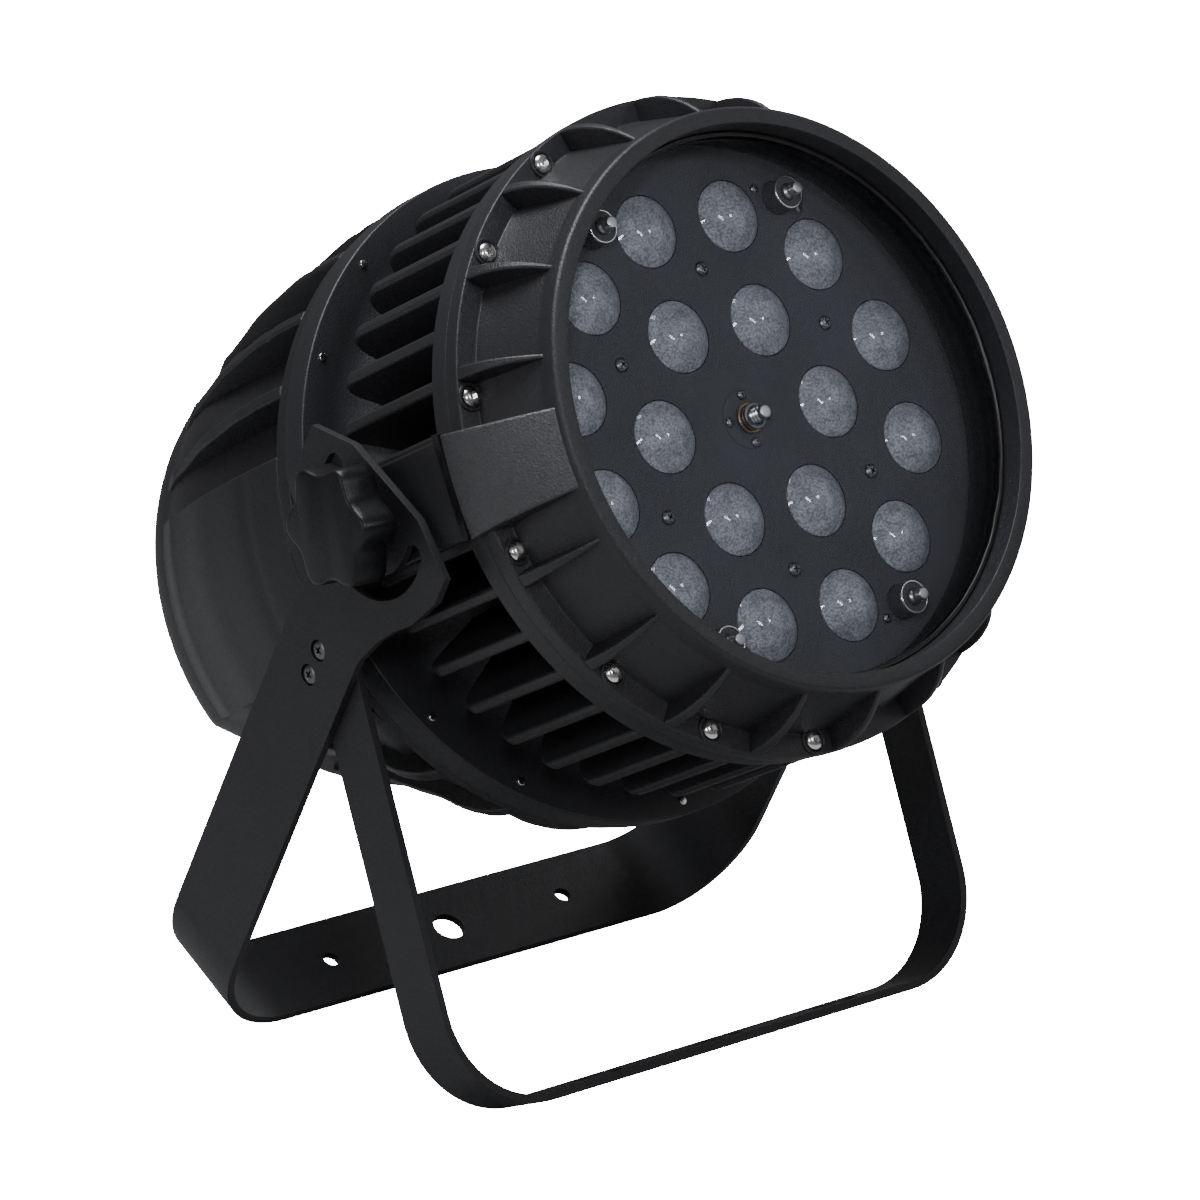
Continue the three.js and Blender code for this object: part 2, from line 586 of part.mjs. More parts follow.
// countersunk screw through the rear strap into the front one; grow widens it into its own hole
function screwTool(side, row, grow) {
  const face = REAR_YOKE.halfWidth;
  const depth = face - FRONT_YOKE.halfWidth + STRAP_THICKNESS + 1.5;
  const head = YOKE_SCREW_HEAD + grow;
  const shank = YOKE_SCREW_SHANK + grow;
  const top = grow ? face + 1 : face - 0.5;
  const points = [
    [0, face - depth - grow], [shank, face - depth - grow], [shank, face - 2.9 - grow],
    [head, face - 0.7 - grow], [head, top], [0, top],
  ].map(([radius, x]) => new THREE.Vector2(radius, x));
  const screw = new THREE.LatheGeometry(points, 12).rotateZ((-side * Math.PI) / 2);
  return toSolid(screw.translate(0, row, 0));
}

function frontYoke(length) {
  const half = FRONT_YOKE.strap / 2;
  const across = FRONT_YOKE.setback;
  const tabs = [-1, 1].map((side) => sidePlate(FRONT_TAB, side, FRONT_YOKE.halfWidth));
  const outline = strapOutline(FRONT_YOKE.halfWidth, FRONT_YOKE.top, length);
  const strap = slab(outline, across - half, across + half);
  const barHoles = [-BAR_HOLE_PITCH, 0, BAR_HOLE_PITCH].map((x) => barHole(9, x, length, across, 20));
  return cut(joined([strap, ...tabs]), barHoles);
}

function inYokeFrame(geometry, lean) {
  return geometry.rotateX((-90 + lean) * DEG).translate(0, PIVOT_Y, PIVOT_HEIGHT);
}

const rearLength = legLength(REAR_YOKE.lean, REAR_YOKE.strap / 2);
const frontLength = legLength(FRONT_YOKE.lean, FRONT_YOKE.setback + FRONT_YOKE.strap / 2);
const placedSinks = yokeScrewPlaces.map(({ side, row }) => (
  toSolid(inYokeFrame(toGeometry(screwTool(side, row, GAP)), REAR_YOKE.lean))
));
const placedFront = toSolid(inYokeFrame(toGeometry(frontYoke(frontLength)), -FRONT_YOKE.lean));
piece(object, 'rear_yoke', inYokeFrame(toGeometry(rearYoke(rearLength)), REAR_YOKE.lean), BLACK, 0.6);
piece(object, 'front_yoke', cut(placedFront, placedSinks), BLACK, 0.6);
yokeScrewPlaces.forEach(({ side, row }, i) => {
  const screw = inYokeFrame(toGeometry(screwTool(side, row, 0)), REAR_YOKE.lean);
  piece(object, `yoke_screw_${i + 1}`, screw, 0x3a3a3c, 0.35, 1);
});

// ---- tilt knobs ---------------------------------------------------------------------------------
function knobOutline() {
  const points = [];
  const steps = KNOB_LOBES * 8;
  for (let i = 0; i < steps; i += 1) {
    const angle = (360 * i) / steps;
    const radius = KNOB_MEAN_RADIUS + KNOB_LOBE * Math.cos((angle - 50) * KNOB_LOBES * DEG);
    points.push([radius * Math.cos(angle * DEG), radius * Math.sin(angle * DEG)]);
  }
  return points;
}

function knob() {
  const grip = slab(knobOutline(), KNOB_BACK, KNOB_FACE);
  const hub = rod(KNOB_HUB_RADIUS, REAR_YOKE.halfWidth + 0.6, KNOB_BACK + 1, 20);
  return grip.add(hub).subtract(rod(STUD_RADIUS + GAP, 150, KNOB_FACE - 6, 14));
}

for (const [name, side] of [['left', -1], ['right', 1]]) {
  const handle = alongX(toGeometry(knob()), side).translate(0, PIVOT_Y, PIVOT_HEIGHT);
  const stud = alongX(toGeometry(rod(STUD_RADIUS, 140, KNOB_FACE - 6.5, 14)), side);
  piece(object, `knob_${name}`, handle, 0x18181a, 0.4);
  piece(object, `knob_stud_${name}`, stud.translate(0, PIVOT_Y, PIVOT_HEIGHT), STEEL, 0.3, 1);
}

export default object;
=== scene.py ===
"""Looks of a zoom par light on its double yoke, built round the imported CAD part."""

import bpy, bmesh, math, random
from mathutils import Matrix, Vector, noise
from mathutils.geometry import tessellate_polygon


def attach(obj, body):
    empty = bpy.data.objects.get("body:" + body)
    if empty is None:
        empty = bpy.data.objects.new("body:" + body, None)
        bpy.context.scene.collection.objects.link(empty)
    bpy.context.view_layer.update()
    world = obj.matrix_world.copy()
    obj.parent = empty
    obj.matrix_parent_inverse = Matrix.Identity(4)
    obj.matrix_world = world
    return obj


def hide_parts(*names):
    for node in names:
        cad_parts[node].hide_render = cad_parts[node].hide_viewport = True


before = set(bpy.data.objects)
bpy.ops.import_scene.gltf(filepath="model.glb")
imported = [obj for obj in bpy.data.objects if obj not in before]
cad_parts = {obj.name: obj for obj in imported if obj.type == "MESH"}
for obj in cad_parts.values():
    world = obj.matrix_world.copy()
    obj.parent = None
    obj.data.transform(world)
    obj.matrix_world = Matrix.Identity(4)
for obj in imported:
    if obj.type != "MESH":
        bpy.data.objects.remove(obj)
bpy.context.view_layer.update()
random.seed(7)

MM = 0.001
PIVOT = Vector((0.0, -0.06132, 0.2918))
TILT = math.radians(25.6)
REAR_LEAN = math.radians(30.3)
FRONT_LEAN = math.radians(20.96)


def frame_matrix(x, y, z, origin):
    """Millimetres in a local frame to metres in the row frame."""
    turn = Matrix((x, y, z)).transposed()
    return Matrix.Translation(origin) @ (turn * MM).to_4x4()


SIDE = Vector((1, 0, 0))
RISE = Vector((0, math.sin(TILT), math.cos(TILT)))
FORWARD = Vector((0, -math.cos(TILT), math.sin(TILT)))
# the lamp's frame: x, up, along the optical axis
HEAD = frame_matrix(SIDE, RISE, FORWARD, PIVOT - 2 * MM * RISE)
# each yoke's frame: x, down the strap, across the strap
REAR = frame_matrix(SIDE, Vector((0, math.sin(REAR_LEAN), -math.cos(REAR_LEAN))),
                    Vector((0, math.cos(REAR_LEAN), math.sin(REAR_LEAN))), PIVOT)
FRONT = frame_matrix(SIDE, Vector((0, -math.sin(FRONT_LEAN), -math.cos(FRONT_LEAN))),
                     Vector((0, math.cos(FRONT_LEAN), -math.sin(FRONT_LEAN))), PIVOT)


# ---- materials ----------------------------------------------------------------------------------
def new_material(name):
    material = bpy.data.materials.new(name)
    material.use_nodes = True
    tree = material.node_tree
    return material, tree, tree.nodes["Principled BSDF"]


def noise_node(tree, scale, detail=3.0, rough=0.5):
    coords = tree.nodes.new("ShaderNodeTexCoord")
    node = tree.nodes.new("ShaderNodeTexNoise")
    node.inputs["Scale"].default_value = scale
    node.inputs["Detail"].default_value = detail
    node.inputs["Roughness"].default_value = rough
    tree.links.new(coords.outputs["Object"], node.inputs["Vector"])
    return node


def ramp(tree, source, stops):
    node = tree.nodes.new("ShaderNodeValToRGB")
    elements = node.color_ramp.elements
    elements[0].position, elements[0].color = stops[0][0], (*stops[0][1], 1)
    elements[1].position, elements[1].color = stops[-1][0], (*stops[-1][1], 1)
    for place, colour in stops[1:-1]:
        elements.new(place).color = (*colour, 1)
    tree.links.new(source, node.inputs["Fac"])
    return node


def coated(name, base, rough, grain=900, depth=0.08, spread=0.06, specular=0.5, metallic=0.0):
    """A coat or casting: fine grain as bump, with slow drift in colour and gloss."""
    material, tree, shader = new_material(name)
    drift = noise_node(tree, 14, 4)
    low = tuple(c * 0.82 for c in base)
    high = tuple(c * 1.22 for c in base)
    tint = ramp(tree, drift.outputs["Fac"], [(0.3, low), (0.7, high)])
    tree.links.new(tint.outputs["Color"], shader.inputs["Base Color"])
    fine = noise_node(tree, grain, 2, 0.6)
    gloss = tree.nodes.new("ShaderNodeMapRange")
    gloss.inputs["To Min"].default_value = rough - spread
    gloss.inputs["To Max"].default_value = rough + spread
    tree.links.new(fine.outputs["Fac"], gloss.inputs["Value"])
    tree.links.new(gloss.outputs["Result"], shader.inputs["Roughness"])
    bump = tree.nodes.new("ShaderNodeBump")
    bump.inputs["Strength"].default_value = 1.0
    bump.inputs["Distance"].default_value = depth * MM
    tree.links.new(fine.outputs["Fac"], bump.inputs["Height"])
    tree.links.new(bump.outputs["Normal"], shader.inputs["Normal"])
    shader.inputs["Specular IOR Level"].default_value = specular
    shader.inputs["Metallic"].default_value = metallic
    return material


BEZEL = coated("bezel_powder", (0.011, 0.011, 0.0135), 0.42, 1000, 0.34, specular=0.5)
CAST = coated("cast_black", (0.011, 0.011, 0.0135), 0.46, 1100, 0.2, specular=0.5)
HOUSING = coated("housing_black", (0.009, 0.009, 0.0108), 0.48, 1100, 0.2, specular=0.42)
YOKE = coated("yoke_powder", (0.009, 0.009, 0.0108), 0.5, 1200, 0.22, specular=0.4)
KNOB = coated("knob_plastic", (0.0045, 0.0045, 0.0055), 0.36, 700, 0.10, specular=0.3)
RUBBER = coated("seal_rubber", (0.004, 0.004, 0.004), 0.34, 320, 0.10, specular=0.55)
SILICONE = coated("silicone_bead", (0.003, 0.003, 0.003), 0.24, 180, 0.12, specular=0.4)
PLATE = coated("plate_grey", (0.054, 0.055, 0.061), 0.6, 700, 0.004, spread=0.02, specular=0.2)
STAINLESS = coated("stainless", (0.8, 0.79, 0.77), 0.2, 500, 0.01, metallic=1.0)
STEEL = coated("steel_bright", (0.5, 0.5, 0.49), 0.3, 700, 0.02, metallic=1.0)
DARK_STEEL = coated("steel_dark", (0.16, 0.16, 0.17), 0.34, 700, 0.02, metallic=1.0)
BRONZE = coated("bronze", (0.42, 0.25, 0.13), 0.34, 600, 0.02, metallic=1.0)
SOCKET = coated("socket_black", (0.012, 0.012, 0.013), 0.4, 900, 0.03)
BOARD = coated("board_white", (0.55, 0.55, 0.53), 0.45, 400, 0.01)
GREEN = coated("board_green", (0.03, 0.14, 0.06), 0.4, 400, 0.01)
SHEET = coated("sheet_metal", (0.42, 0.42, 0.43), 0.38, 500, 0.02, metallic=1.0)
SCREEN = coated("screen", (0.006, 0.008, 0.012), 0.12, 300, 0.004)


def lens_material():
    """A moulded lens: a pebbled grey underside seen through a clear, smooth, glossy dome."""
    material, tree, shader = new_material("lens_pebbled")
    coords = tree.nodes.new("ShaderNodeTexCoord")
    cells = tree.nodes.new("ShaderNodeTexVoronoi")
    cells.inputs["Scale"].default_value = 850
    tree.links.new(coords.outputs["Object"], cells.inputs["Vector"])
    greys = [(place, (value, value, value)) for place, value in ((0.05, 0.56), (0.4, 0.4), (0.75, 0.24))]
    mottle = ramp(tree, cells.outputs["Distance"], greys)
    drift = noise_node(tree, 150, 3)
    cloud = ramp(tree, drift.outputs["Fac"], [(0.35, (0.66, 0.67, 0.74)), (0.65, (1.0, 1.02, 1.12))])
    mix = tree.nodes.new("ShaderNodeMix")
    mix.data_type, mix.blend_type = "RGBA", "MULTIPLY"
    mix.inputs["Factor"].default_value = 1.0
    tree.links.new(mottle.outputs["Color"], mix.inputs["A"])
    tree.links.new(cloud.outputs["Color"], mix.inputs["B"])
    tree.links.new(mix.outputs["Result"], shader.inputs["Base Color"])
    bump = tree.nodes.new("ShaderNodeBump")
    bump.inputs["Distance"].default_value = 0.45 * MM
    bump.inputs["Strength"].default_value = 0.8
    bump.invert = True
    tree.links.new(cells.outputs["Distance"], bump.inputs["Height"])
    tree.links.new(bump.outputs["Normal"], shader.inputs["Normal"])
    shader.inputs["Roughness"].default_value = 0.3
    shader.inputs["Coat Weight"].default_value = 1.0
    shader.inputs["Coat Roughness"].default_value = 0.03
    return material


def glass_material(name, ior, tint):
    """Clear glass with a faint smear in its gloss, which grows towards a grazing view."""
    material, tree, shader = new_material(name)
    tree.nodes.remove(shader)
    clear = tree.nodes.new("ShaderNodeBsdfTransparent")
    clear.inputs["Color"].default_value = (*tint, 1)
    gloss = tree.nodes.new("ShaderNodeBsdfGlossy")
    smear = noise_node(tree, 9, 3)
    rough = tree.nodes.new("ShaderNodeMapRange")
    rough.inputs["To Min"].default_value = 0.01
    rough.inputs["To Max"].default_value = 0.06
    tree.links.new(smear.outputs["Fac"], rough.inputs["Value"])
    tree.links.new(rough.outputs["Result"], gloss.inputs["Roughness"])
    fresnel = tree.nodes.new("ShaderNodeFresnel")
    fresnel.inputs["IOR"].default_value = ior
    mix = tree.nodes.new("ShaderNodeMixShader")
    tree.links.new(fresnel.outputs["Fac"], mix.inputs["Fac"])
    tree.links.new(clear.outputs["BSDF"], mix.inputs[1])
    tree.links.new(gloss.outputs["BSDF"], mix.inputs[2])
    tree.links.new(mix.outputs["Shader"], tree.nodes["Material Output"].inputs["Surface"])
    return material


LENS = lens_material()
GLASS = glass_material("front_glass", 1.16, (0.95, 0.96, 0.975))


# ---- mesh helpers -------------------------------------------------------------------------------
def rounded(points, steps=5):
    """A closed outline; a point given as (a, b, r) has its corner rounded to radius r."""
    out = []
    count = len(points)
    for i, point in enumerate(points):
        here = Vector(point[:2])
        radius = point[2] if len(point) > 2 else 0
        if not radius:
            out.append(here)
            continue
        before = (Vector(points[i - 1][:2]) - here).normalized()
        after = (Vector(points[(i + 1) % count][:2]) - here).normalized()
        half = before.angle(after) / 2
        reach = radius / math.tan(half)
        centre = here + (before + after).normalized() * (radius / math.sin(half))
        start = here + before * reach - centre
        end = here + after * reach - centre
        swing = start.angle_signed(end)
        for k in range(steps + 1):
            turn = Matrix.Rotation(-swing * k / steps, 2)
            out.append(centre + turn @ start)
    return out


def arc(x, y, radius, start, stop, steps):
    """Points on an arc from one angle to another, in degrees."""
    out = []
    for i in range(steps + 1):
        a = math.radians(start + (stop - start) * i / steps)
        out.append((x + radius * math.cos(a), y + radius * math.sin(a)))
    return out


def build(name, verts, faces, place, material, body, slot,
          replaces=(), bevel=0.0, segments=3, limit=35, smooth=32):
    """One piece from local millimetres, with doubles joined and faces outward, riding on its body."""
    mesh = bpy.data.meshes.new(name)
    mesh.from_pydata([tuple(v) for v in verts], [], faces)
    work = bmesh.new()
    work.from_mesh(mesh)
    bmesh.ops.remove_doubles(work, verts=work.verts, dist=0.001)
    bmesh.ops.recalc_face_normals(work, faces=work.faces)
    for face in work.faces:
        face.smooth = True
    work.to_mesh(mesh)
    work.free()
    mesh.transform(place)
    mesh.set_sharp_from_angle(angle=math.radians(smooth))
    mesh.materials.append(material)
    piece = bpy.data.objects.new(name, mesh)
    bpy.context.scene.collection.objects.link(piece)
    if bevel:
        edge = piece.modifiers.new("bevel", "BEVEL")
        edge.width = bevel * MM
        edge.segments = segments
        edge.limit_method = "ANGLE"
        edge.angle_limit = math.radians(limit)
        edge.harden_normals = False
        even = piece.modifiers.new("normals", "WEIGHTED_NORMAL")
        even.keep_sharp = True
    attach(piece, body)
    if replaces:
        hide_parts(*replaces)
    return piece


def lathe(profile, around=180):
    """Vertices and faces of a closed (radius, z) outline turned about z."""
    verts, faces = [], []
    count = len(profile)
    for i in range(around):
        a = 2 * math.pi * i / around
        verts += [(p[0] * math.sin(a), p[0] * math.cos(a), p[1]) for p in profile]
    for i in range(around):
        for k in range(count):
            a, b = i * count + k, i * count + (k + 1) % count
            c, d = ((i + 1) % around) * count + (k + 1) % count, ((i + 1) % around) * count + k
            faces.append((a, b, c, d))
    return verts, faces


def turned(points, around):
    """A closed (radius, z) outline with its marked corners rounded, turned about z."""
    return lathe(rounded(points), around)


def slab(outline, low, high):
    """Vertices and faces of an outline between two heights."""
    count = len(outline)
    verts = [(p[0], p[1], z) for z in (low, high) for p in outline]
    faces = [tuple(range(count)), tuple(range(count, 2 * count))]
    faces += [(i, (i + 1) % count, count + (i + 1) % count, count + i) for i in range(count)]
    return verts, faces


def moved(part, turn):
    return [turn @ Vector(v) for v in part[0]], part[1]


def merged(parts):
    verts, faces = [], []
    for v, f in parts:
        base = len(verts)
        verts += list(v)
        faces += [tuple(base + i for i in face) for face in f]
    return verts, faces


def clock(radius, degrees):
    return radius * math.sin(math.radians(degrees)), radius * math.cos(math.radians(degrees))


def radial(outline, thickness, degrees):
    """A (radius, z) outline as a plate standing radially at a clock angle."""
    ox, oy = clock(1, degrees)
    turn = Matrix(((ox, 0, oy), (oy, 0, -ox), (0, 1, 0)))
    return moved(slab(outline, -thickness / 2, thickness / 2), turn)


def spot(x, y, z, part):
    return moved(part, Matrix.Translation((x, y, z)))


def hexagon(radius):
    return arc(0, 0, radius, 0, 300, 5)


def rings_to_faces(rings, sides):
    """Faces between rings of points that follow one another."""
    faces = []
    for k in range(rings - 1):
        for i in range(sides):
            j = (i + 1) % sides
            faces.append((k * sides + i, k * sides + j, (k + 1) * sides + j, (k + 1) * sides + i))
    return faces


def circle(radius, z, sides):
    out = []
    for i in range(sides):
        a = 2 * math.pi * i / sides
        out.append((radius * math.cos(a), radius * math.sin(a), z))
    return out


def add(name, parts, material, body, slot, place=HEAD, **more):
    verts, faces = merged(parts)
    return build(name, verts, faces, place, material, body, slot, **more)


def on_head(name, parts, material, slot, **more):
    return add(name, parts, material, "head", slot, **more)


def laid_sideways(side):
    """Turns z to point out of the lamp's left (-1) or right (1) side."""
    return Matrix.Rotation(side * math.pi / 2, 4, "Y")


UPSIDE_DOWN = Matrix.Rotation(math.pi, 4, "X")


# ---- bezel --------------------------------------------------------------------------------------
bezel_profile = rounded([
    (133.2, 57), (160, 57, 0.6), (160, 66, 0.9), (149.2, 66, 0.8), (140.6, 103, 6), (140, 113.5, 2.2),
    (131.65, 113.5, 0.5), (131.65, 96), (129, 96), (129, 93), (133.2, 90),
])
RIB_FOOT, RIB_RISE, RIB_FALL, RIB_BULGE = 159.7, 40, 19.7, 4.3
rib_outline = [(136, 65.5), (RIB_FOOT, 65.5), (RIB_FOOT, 66.6)]
for k in range(1, 10):
    share = k / 10
    bulge = RIB_BULGE * 4 * share * (1 - share)
    rib_outline.append((RIB_FOOT - RIB_FALL * share + bulge * 0.894, 66.6 + RIB_RISE * share + bulge * 0.447))
rib_outline += [(140, 106.6), (136, 104)]
on_head("bezel_body", [lathe(bezel_profile, 240)], BEZEL, "black_cast", replaces=["front_bezel"])


def rib(degrees):
    """A rib that is broad at the flange and narrows towards the lip."""
    verts, faces = radial(rib_outline, 1, degrees)
    across = Vector((*clock(1, degrees + 90), 0))
    out = []
    for v in verts:
        side = v.dot(across)
        half = 3.3 - 2.2 * min(max((v.z - 66) / RIB_RISE, 0), 1)
        out.append(v - across * side + across * (half if side > 0 else -half))
    return out, faces


on_head("bezel_ribs", [rib(18 * i) for i in range(20) if 18 * i % 180 != 90], BEZEL, "black_cast", bevel=1.0)


def side_block(side):
    """The broad block where the bezel meets the flat side panel; it narrows and curves in towards the lip."""
    verts, faces = [], []
    rows, columns = 18, 14
    wide_half, narrow_half, root = 25, 19, 137.0
    outer = [(167.0, 57), (166.6, 62), (165.2, 69), (163, 76), (160, 83),
             (156.2, 90), (151.6, 97), (146.4, 103.5), (140.2, 110)]
    for i in range(rows + 1):
        place = i / rows * (len(outer) - 1)
        k = min(int(place), len(outer) - 2)
        x = outer[k][0] + (outer[k + 1][0] - outer[k][0]) * (place - k)
        z = outer[k][1] + (outer[k + 1][1] - outer[k][1]) * (place - k)
        half = wide_half + (narrow_half - wide_half) * i / rows
        for j in range(columns + 1):
            u = 2 * j / columns - 1
            verts.append((side * (x - 1.2 * u * u), half * u, z))
    base = len(verts)
    for i in range(rows + 1):
        z = verts[i * (columns + 1)][2]
        half = wide_half + (narrow_half - wide_half) * i / rows
        for j in range(columns + 1):
            verts.append((side * root, half * (2 * j / columns - 1), z))
    wide = columns + 1
    for layer in (0, base):
        for i in range(rows):
            for j in range(columns):
                a = layer + i * wide + j
                faces.append((a, a + 1, a + wide + 1, a + wide))
    for i in range(rows):
        for j in (0, columns):
            a = i * wide + j
            faces.append((a, a + wide, base + a + wide, base + a))
    for j in range(columns):
        for i in (0, rows):
            a = i * wide + j
            faces.append((a, a + 1, base + a + 1, base + a))
    return verts, faces


# the side blocks wear the bezel's own black coat; their base colour, lighter than the bezel's, is a painted
# highlight where the light catches them
BLOCK_COAT_LIT = coated("block_coat_painted_highlight", (0.016, 0.016, 0.019), 0.38, 950, 0.6, specular=0.8)
on_head("bezel_side_blocks", [side_block(1), side_block(-1)], BLOCK_COAT_LIT, "black_cast", bevel=1.3, segments=3)


def button_head(radius=4.75, height=2.7, key=1.75):
    """Button head with a hexagon socket, seated at z = 0."""
    steps, sides, edge, depth = 6, 24, 0.4, 1.6
    swing = math.pi / 2 * 0.72
    rings = [(radius, 0.0), (radius, edge)]
    for k in range(1, steps + 1):
        a = swing * k / steps
        rings.append((radius * math.cos(a), edge + (height - edge) * math.sin(a) / math.sin(swing)))
    verts = [v for r, z in rings for v in circle(r, z, sides)]
    faces = rings_to_faces(len(rings), sides)
    top = (len(rings) - 1) * sides
    rim = len(verts)
    for i in range(sides):
        a = 2 * math.pi * i / sides
        flat = key / math.cos((a + math.pi / 6) % (math.pi / 3) - math.pi / 6)
        verts.append((flat * math.cos(a), flat * math.sin(a), height))
    floor = len(verts)
    for i in range(sides):
        verts.append((verts[rim + i][0], verts[rim + i][1], height - depth))
    for i in range(sides):
        j = (i + 1) % sides
        faces.append((top + i, top + j, rim + j, rim + i))
        faces.append((rim + i, rim + j, floor + j, floor + i))
    faces.append(tuple(floor + i for i in range(sides)))
    return verts, faces


def cross_head(radius, height):
    """Round head with a cross recess, seated at z = 0."""
    sides = 24
    profile = [(radius, 0), (radius, height * 0.4), (radius * 0.8, height * 0.85), (radius * 0.6, height)]
    verts = [v for r, z in profile for v in circle(r, z, sides)]
    faces = rings_to_faces(len(profile), sides)
    top, rim = (len(profile) - 1) * sides, len(verts)
    arm, half = radius * 0.52, radius * 0.13
    cross = []
    for q in range(4):
        turn = Matrix.Rotation(q * math.pi / 2, 2)
        cross += [turn @ Vector(p) for p in ((half, half), (half * 0.8, arm), (-half * 0.8, arm))]
    verts += [(p[0], p[1], height) for p in cross]
    floor = len(verts)
    verts += [(p[0] * 0.6, p[1] * 0.6, height - radius * 0.45) for p in cross]
    ring = [Vector(v[:2]) for v in verts[top:top + sides]]
    outline = [ring, [Vector(p) for p in cross]]
    lookup = [top + i for i in range(sides)] + [rim + i for i in range(12)]
    for tri in tessellate_polygon([[p.to_3d() for p in loop] for loop in outline]):
        faces.append(tuple(lookup[i] for i in tri))
    for i in range(12):
        j = (i + 1) % 12
        faces.append((rim + i, rim + j, floor + j, floor + i))
    faces.append(tuple(floor + i for i in range(12)))
    return verts, faces


# clock angles of the bezel screws, which stand between the ribs
BEZEL_SCREWS = [-26.4, -48.6, -75.8, -103.4, -130.5, -152.3, -174.8,
                153.6, 131.4, 104.2, 76.6, 49.5, 27.7, 5.2]
BEZEL_SCREW_CIRCLE = 153.2
screws = []
for a in BEZEL_SCREWS:
    x, y = clock(BEZEL_SCREW_CIRCLE, a)
    turn = Matrix.Rotation(random.uniform(0, math.pi), 4, "Z")
    screws.append(spot(x, y, 66.1, moved(button_head(), turn)))
on_head("bezel_screws", screws, STAINLESS, "bright_steel")
seat = turned([(4.9, 65.9), (6.9, 65.9), (6.9, 67.1, 0.5), (5.6, 67.1, 0.5)], 32)
seats = [spot(*clock(BEZEL_SCREW_CIRCLE, a), 0, seat) for a in BEZEL_SCREWS]
on_head("bezel_screw_seats", seats, BEZEL, "black_cast")
# the lip's blind dimples are not cut: thin black discs in the rubber material lie flush in its face as
# painted shade inside them
dimple = lathe([(0, 0), (2.0, 0), (2.0, 0.1), (0, 0.1)], 24)
dimples = [spot(*clock(135.6, 45 + 90 * k), 113.42, dimple) for k in range(4)]
on_head("lip_dimple_painted_shade", dimples, RUBBER, "black_rubber")


# ---- glass and gaskets --------------------------------------------------------------------------
def uneven(part, amount, pitch):
    """Pushes a seal's surface in and out a little, as pressed or smeared rubber lies."""
    verts = []
    for v in part[0]:
        v = Vector(v)
        out = Vector((v.x, v.y, 0)).normalized()
        lift = Vector((0, 0, amount * 0.7 * noise.noise(v * pitch * 1.7)))
        verts.append(v + out * amount * noise.noise(v * pitch) + lift)
    return verts, part[1]


glass = lathe([(0, 96), (131.2, 96), (131.2, 99.6), (130.8, 100), (0, 100)], 120)
on_head("glass_disc", [glass], GLASS, "clear_glass", replaces=["front_glass"])
seal = turned([(129.2, 100), (131.8, 100), (131.8, 102.4, 1.2), (129.2, 101, 0.5)], 240)
on_head("glass_seal", [uneven(seal, 0.35, 0.09)], RUBBER, "black_rubber", replaces=["glass_gasket"])
seal = turned([(140, 55.8), (159.2, 55.8, 0.5), (159.2, 57, 0.5), (140, 57)], 240)
on_head("bezel_seal", [uneven(seal, 0.25, 0.08)], SILICONE, "black_rubber", replaces=["bezel_gasket"])
seal = turned([(150, -72.2), (161.5, -72.2, 0.5), (161.5, -71.1, 0.5), (150, -71.1)], 240)
on_head("rear_seal", [uneven(seal, 0.6, 0.07)], SILICONE, "black_rubber", replaces=["rear_gasket"])

# ---- heat sink ----------------------------------------------------------------------------------
sink_profile = rounded([
    (133.5, 34), (133.5, 55.8), (159, 55.8, 0.6), (159, 44.5, 0.8), (139, 44.5), (138, 30), (112, 30),
    *arc(150, -17, 38.5, 180, 268, 14), (164, -55.6, 1.0), (164, -71, 0.8), (150, -71),
    *arc(150, -17, 44, 268, 180, 8), (106, 20), (6, 20), (6, 34),
])
RIM_HALF = 159.2    # the rim is cut flat at the sides, to pass inside the yoke
verts, faces = lathe(sink_profile, 240)
verts = [(max(-RIM_HALF, min(RIM_HALF, x)), y, z) if z < -50 else (x, y, z) for x, y, z in verts]
on_head("sink_core", [(verts, faces)], CAST, "black_cast", replaces=["heat_sink"])
fin_outline = rounded([(108, 32), (134.5, 32), (134.5, 46), (158.5, 46), (158.5, -37.5, 14),
                       (114, -37.5), (108, -24)], 8)
sink_fins = [radial(fin_outline, 6.3, 9 * i) for i in range(40) if 9 * i % 180 != 90]
on_head("sink_fins", sink_fins, CAST, "black_cast", bevel=1.9)
panel_outline = [(110, 32), (135, 32), (135, 55.8), (164.5, 55.8), (164.5, -56.5),
                 *arc(150, -17, 40.5, 268, 180, 6)]
side_panels = [radial(panel_outline, 47, side * 90) for side in (-1, 1)]
on_head("sink_side_panels", side_panels, CAST, "black_cast", bevel=1.2)
stop_pin = turned([(0, 160), (4.9, 160), (4.9, 174.4, 0.8), (0, 174.4)], 32)
stop_pins = [moved(stop_pin, Matrix.Translation((0, -8.7, -31)) @ laid_sideways(side)) for side in (-1, 1)]
on_head("stop_pins", stop_pins, STEEL, "bright_steel")
bead = slab(rounded([(54.2, -24.6, 1), (58.4, -24.6, 1), (58.4, 25.8, 1), (54.2, 25.8, 1)]), 163.6, 167.5)
beads = [uneven(moved(bead, laid_sideways(side) @ Matrix.Scale(-side, 4, (1, 0, 0))), 0.3, 0.2)
         for side in (-1, 1)]
on_head("block_beads", beads, SILICONE, "black_rubber")
FLANGE_SCREWS = [0, 35.2, 55.8, 124.3, 144.8, 180, -144.8, -124.3, -55.8, -35.2]
tip = turned([(0, 0), (2.0, 0), (2.0, 1.0, 0.4), (0, 1.0)], 20)
tips = [spot(*clock(157.4, a), -55.6, tip) for a in FLANGE_SCREWS]
on_head("flange_screw_tips", tips, STAINLESS, "bright_steel")

# ---- rear housing -------------------------------------------------------------------------------
# fin tips above, and the cheeks between them
ENVELOPE = [(162, -81), (162, -103), (161, -112), (160.6, -123), (157, -146), (153.6, -166),
            (148, -186), (144, -201), (142, -209), (136, -222)]
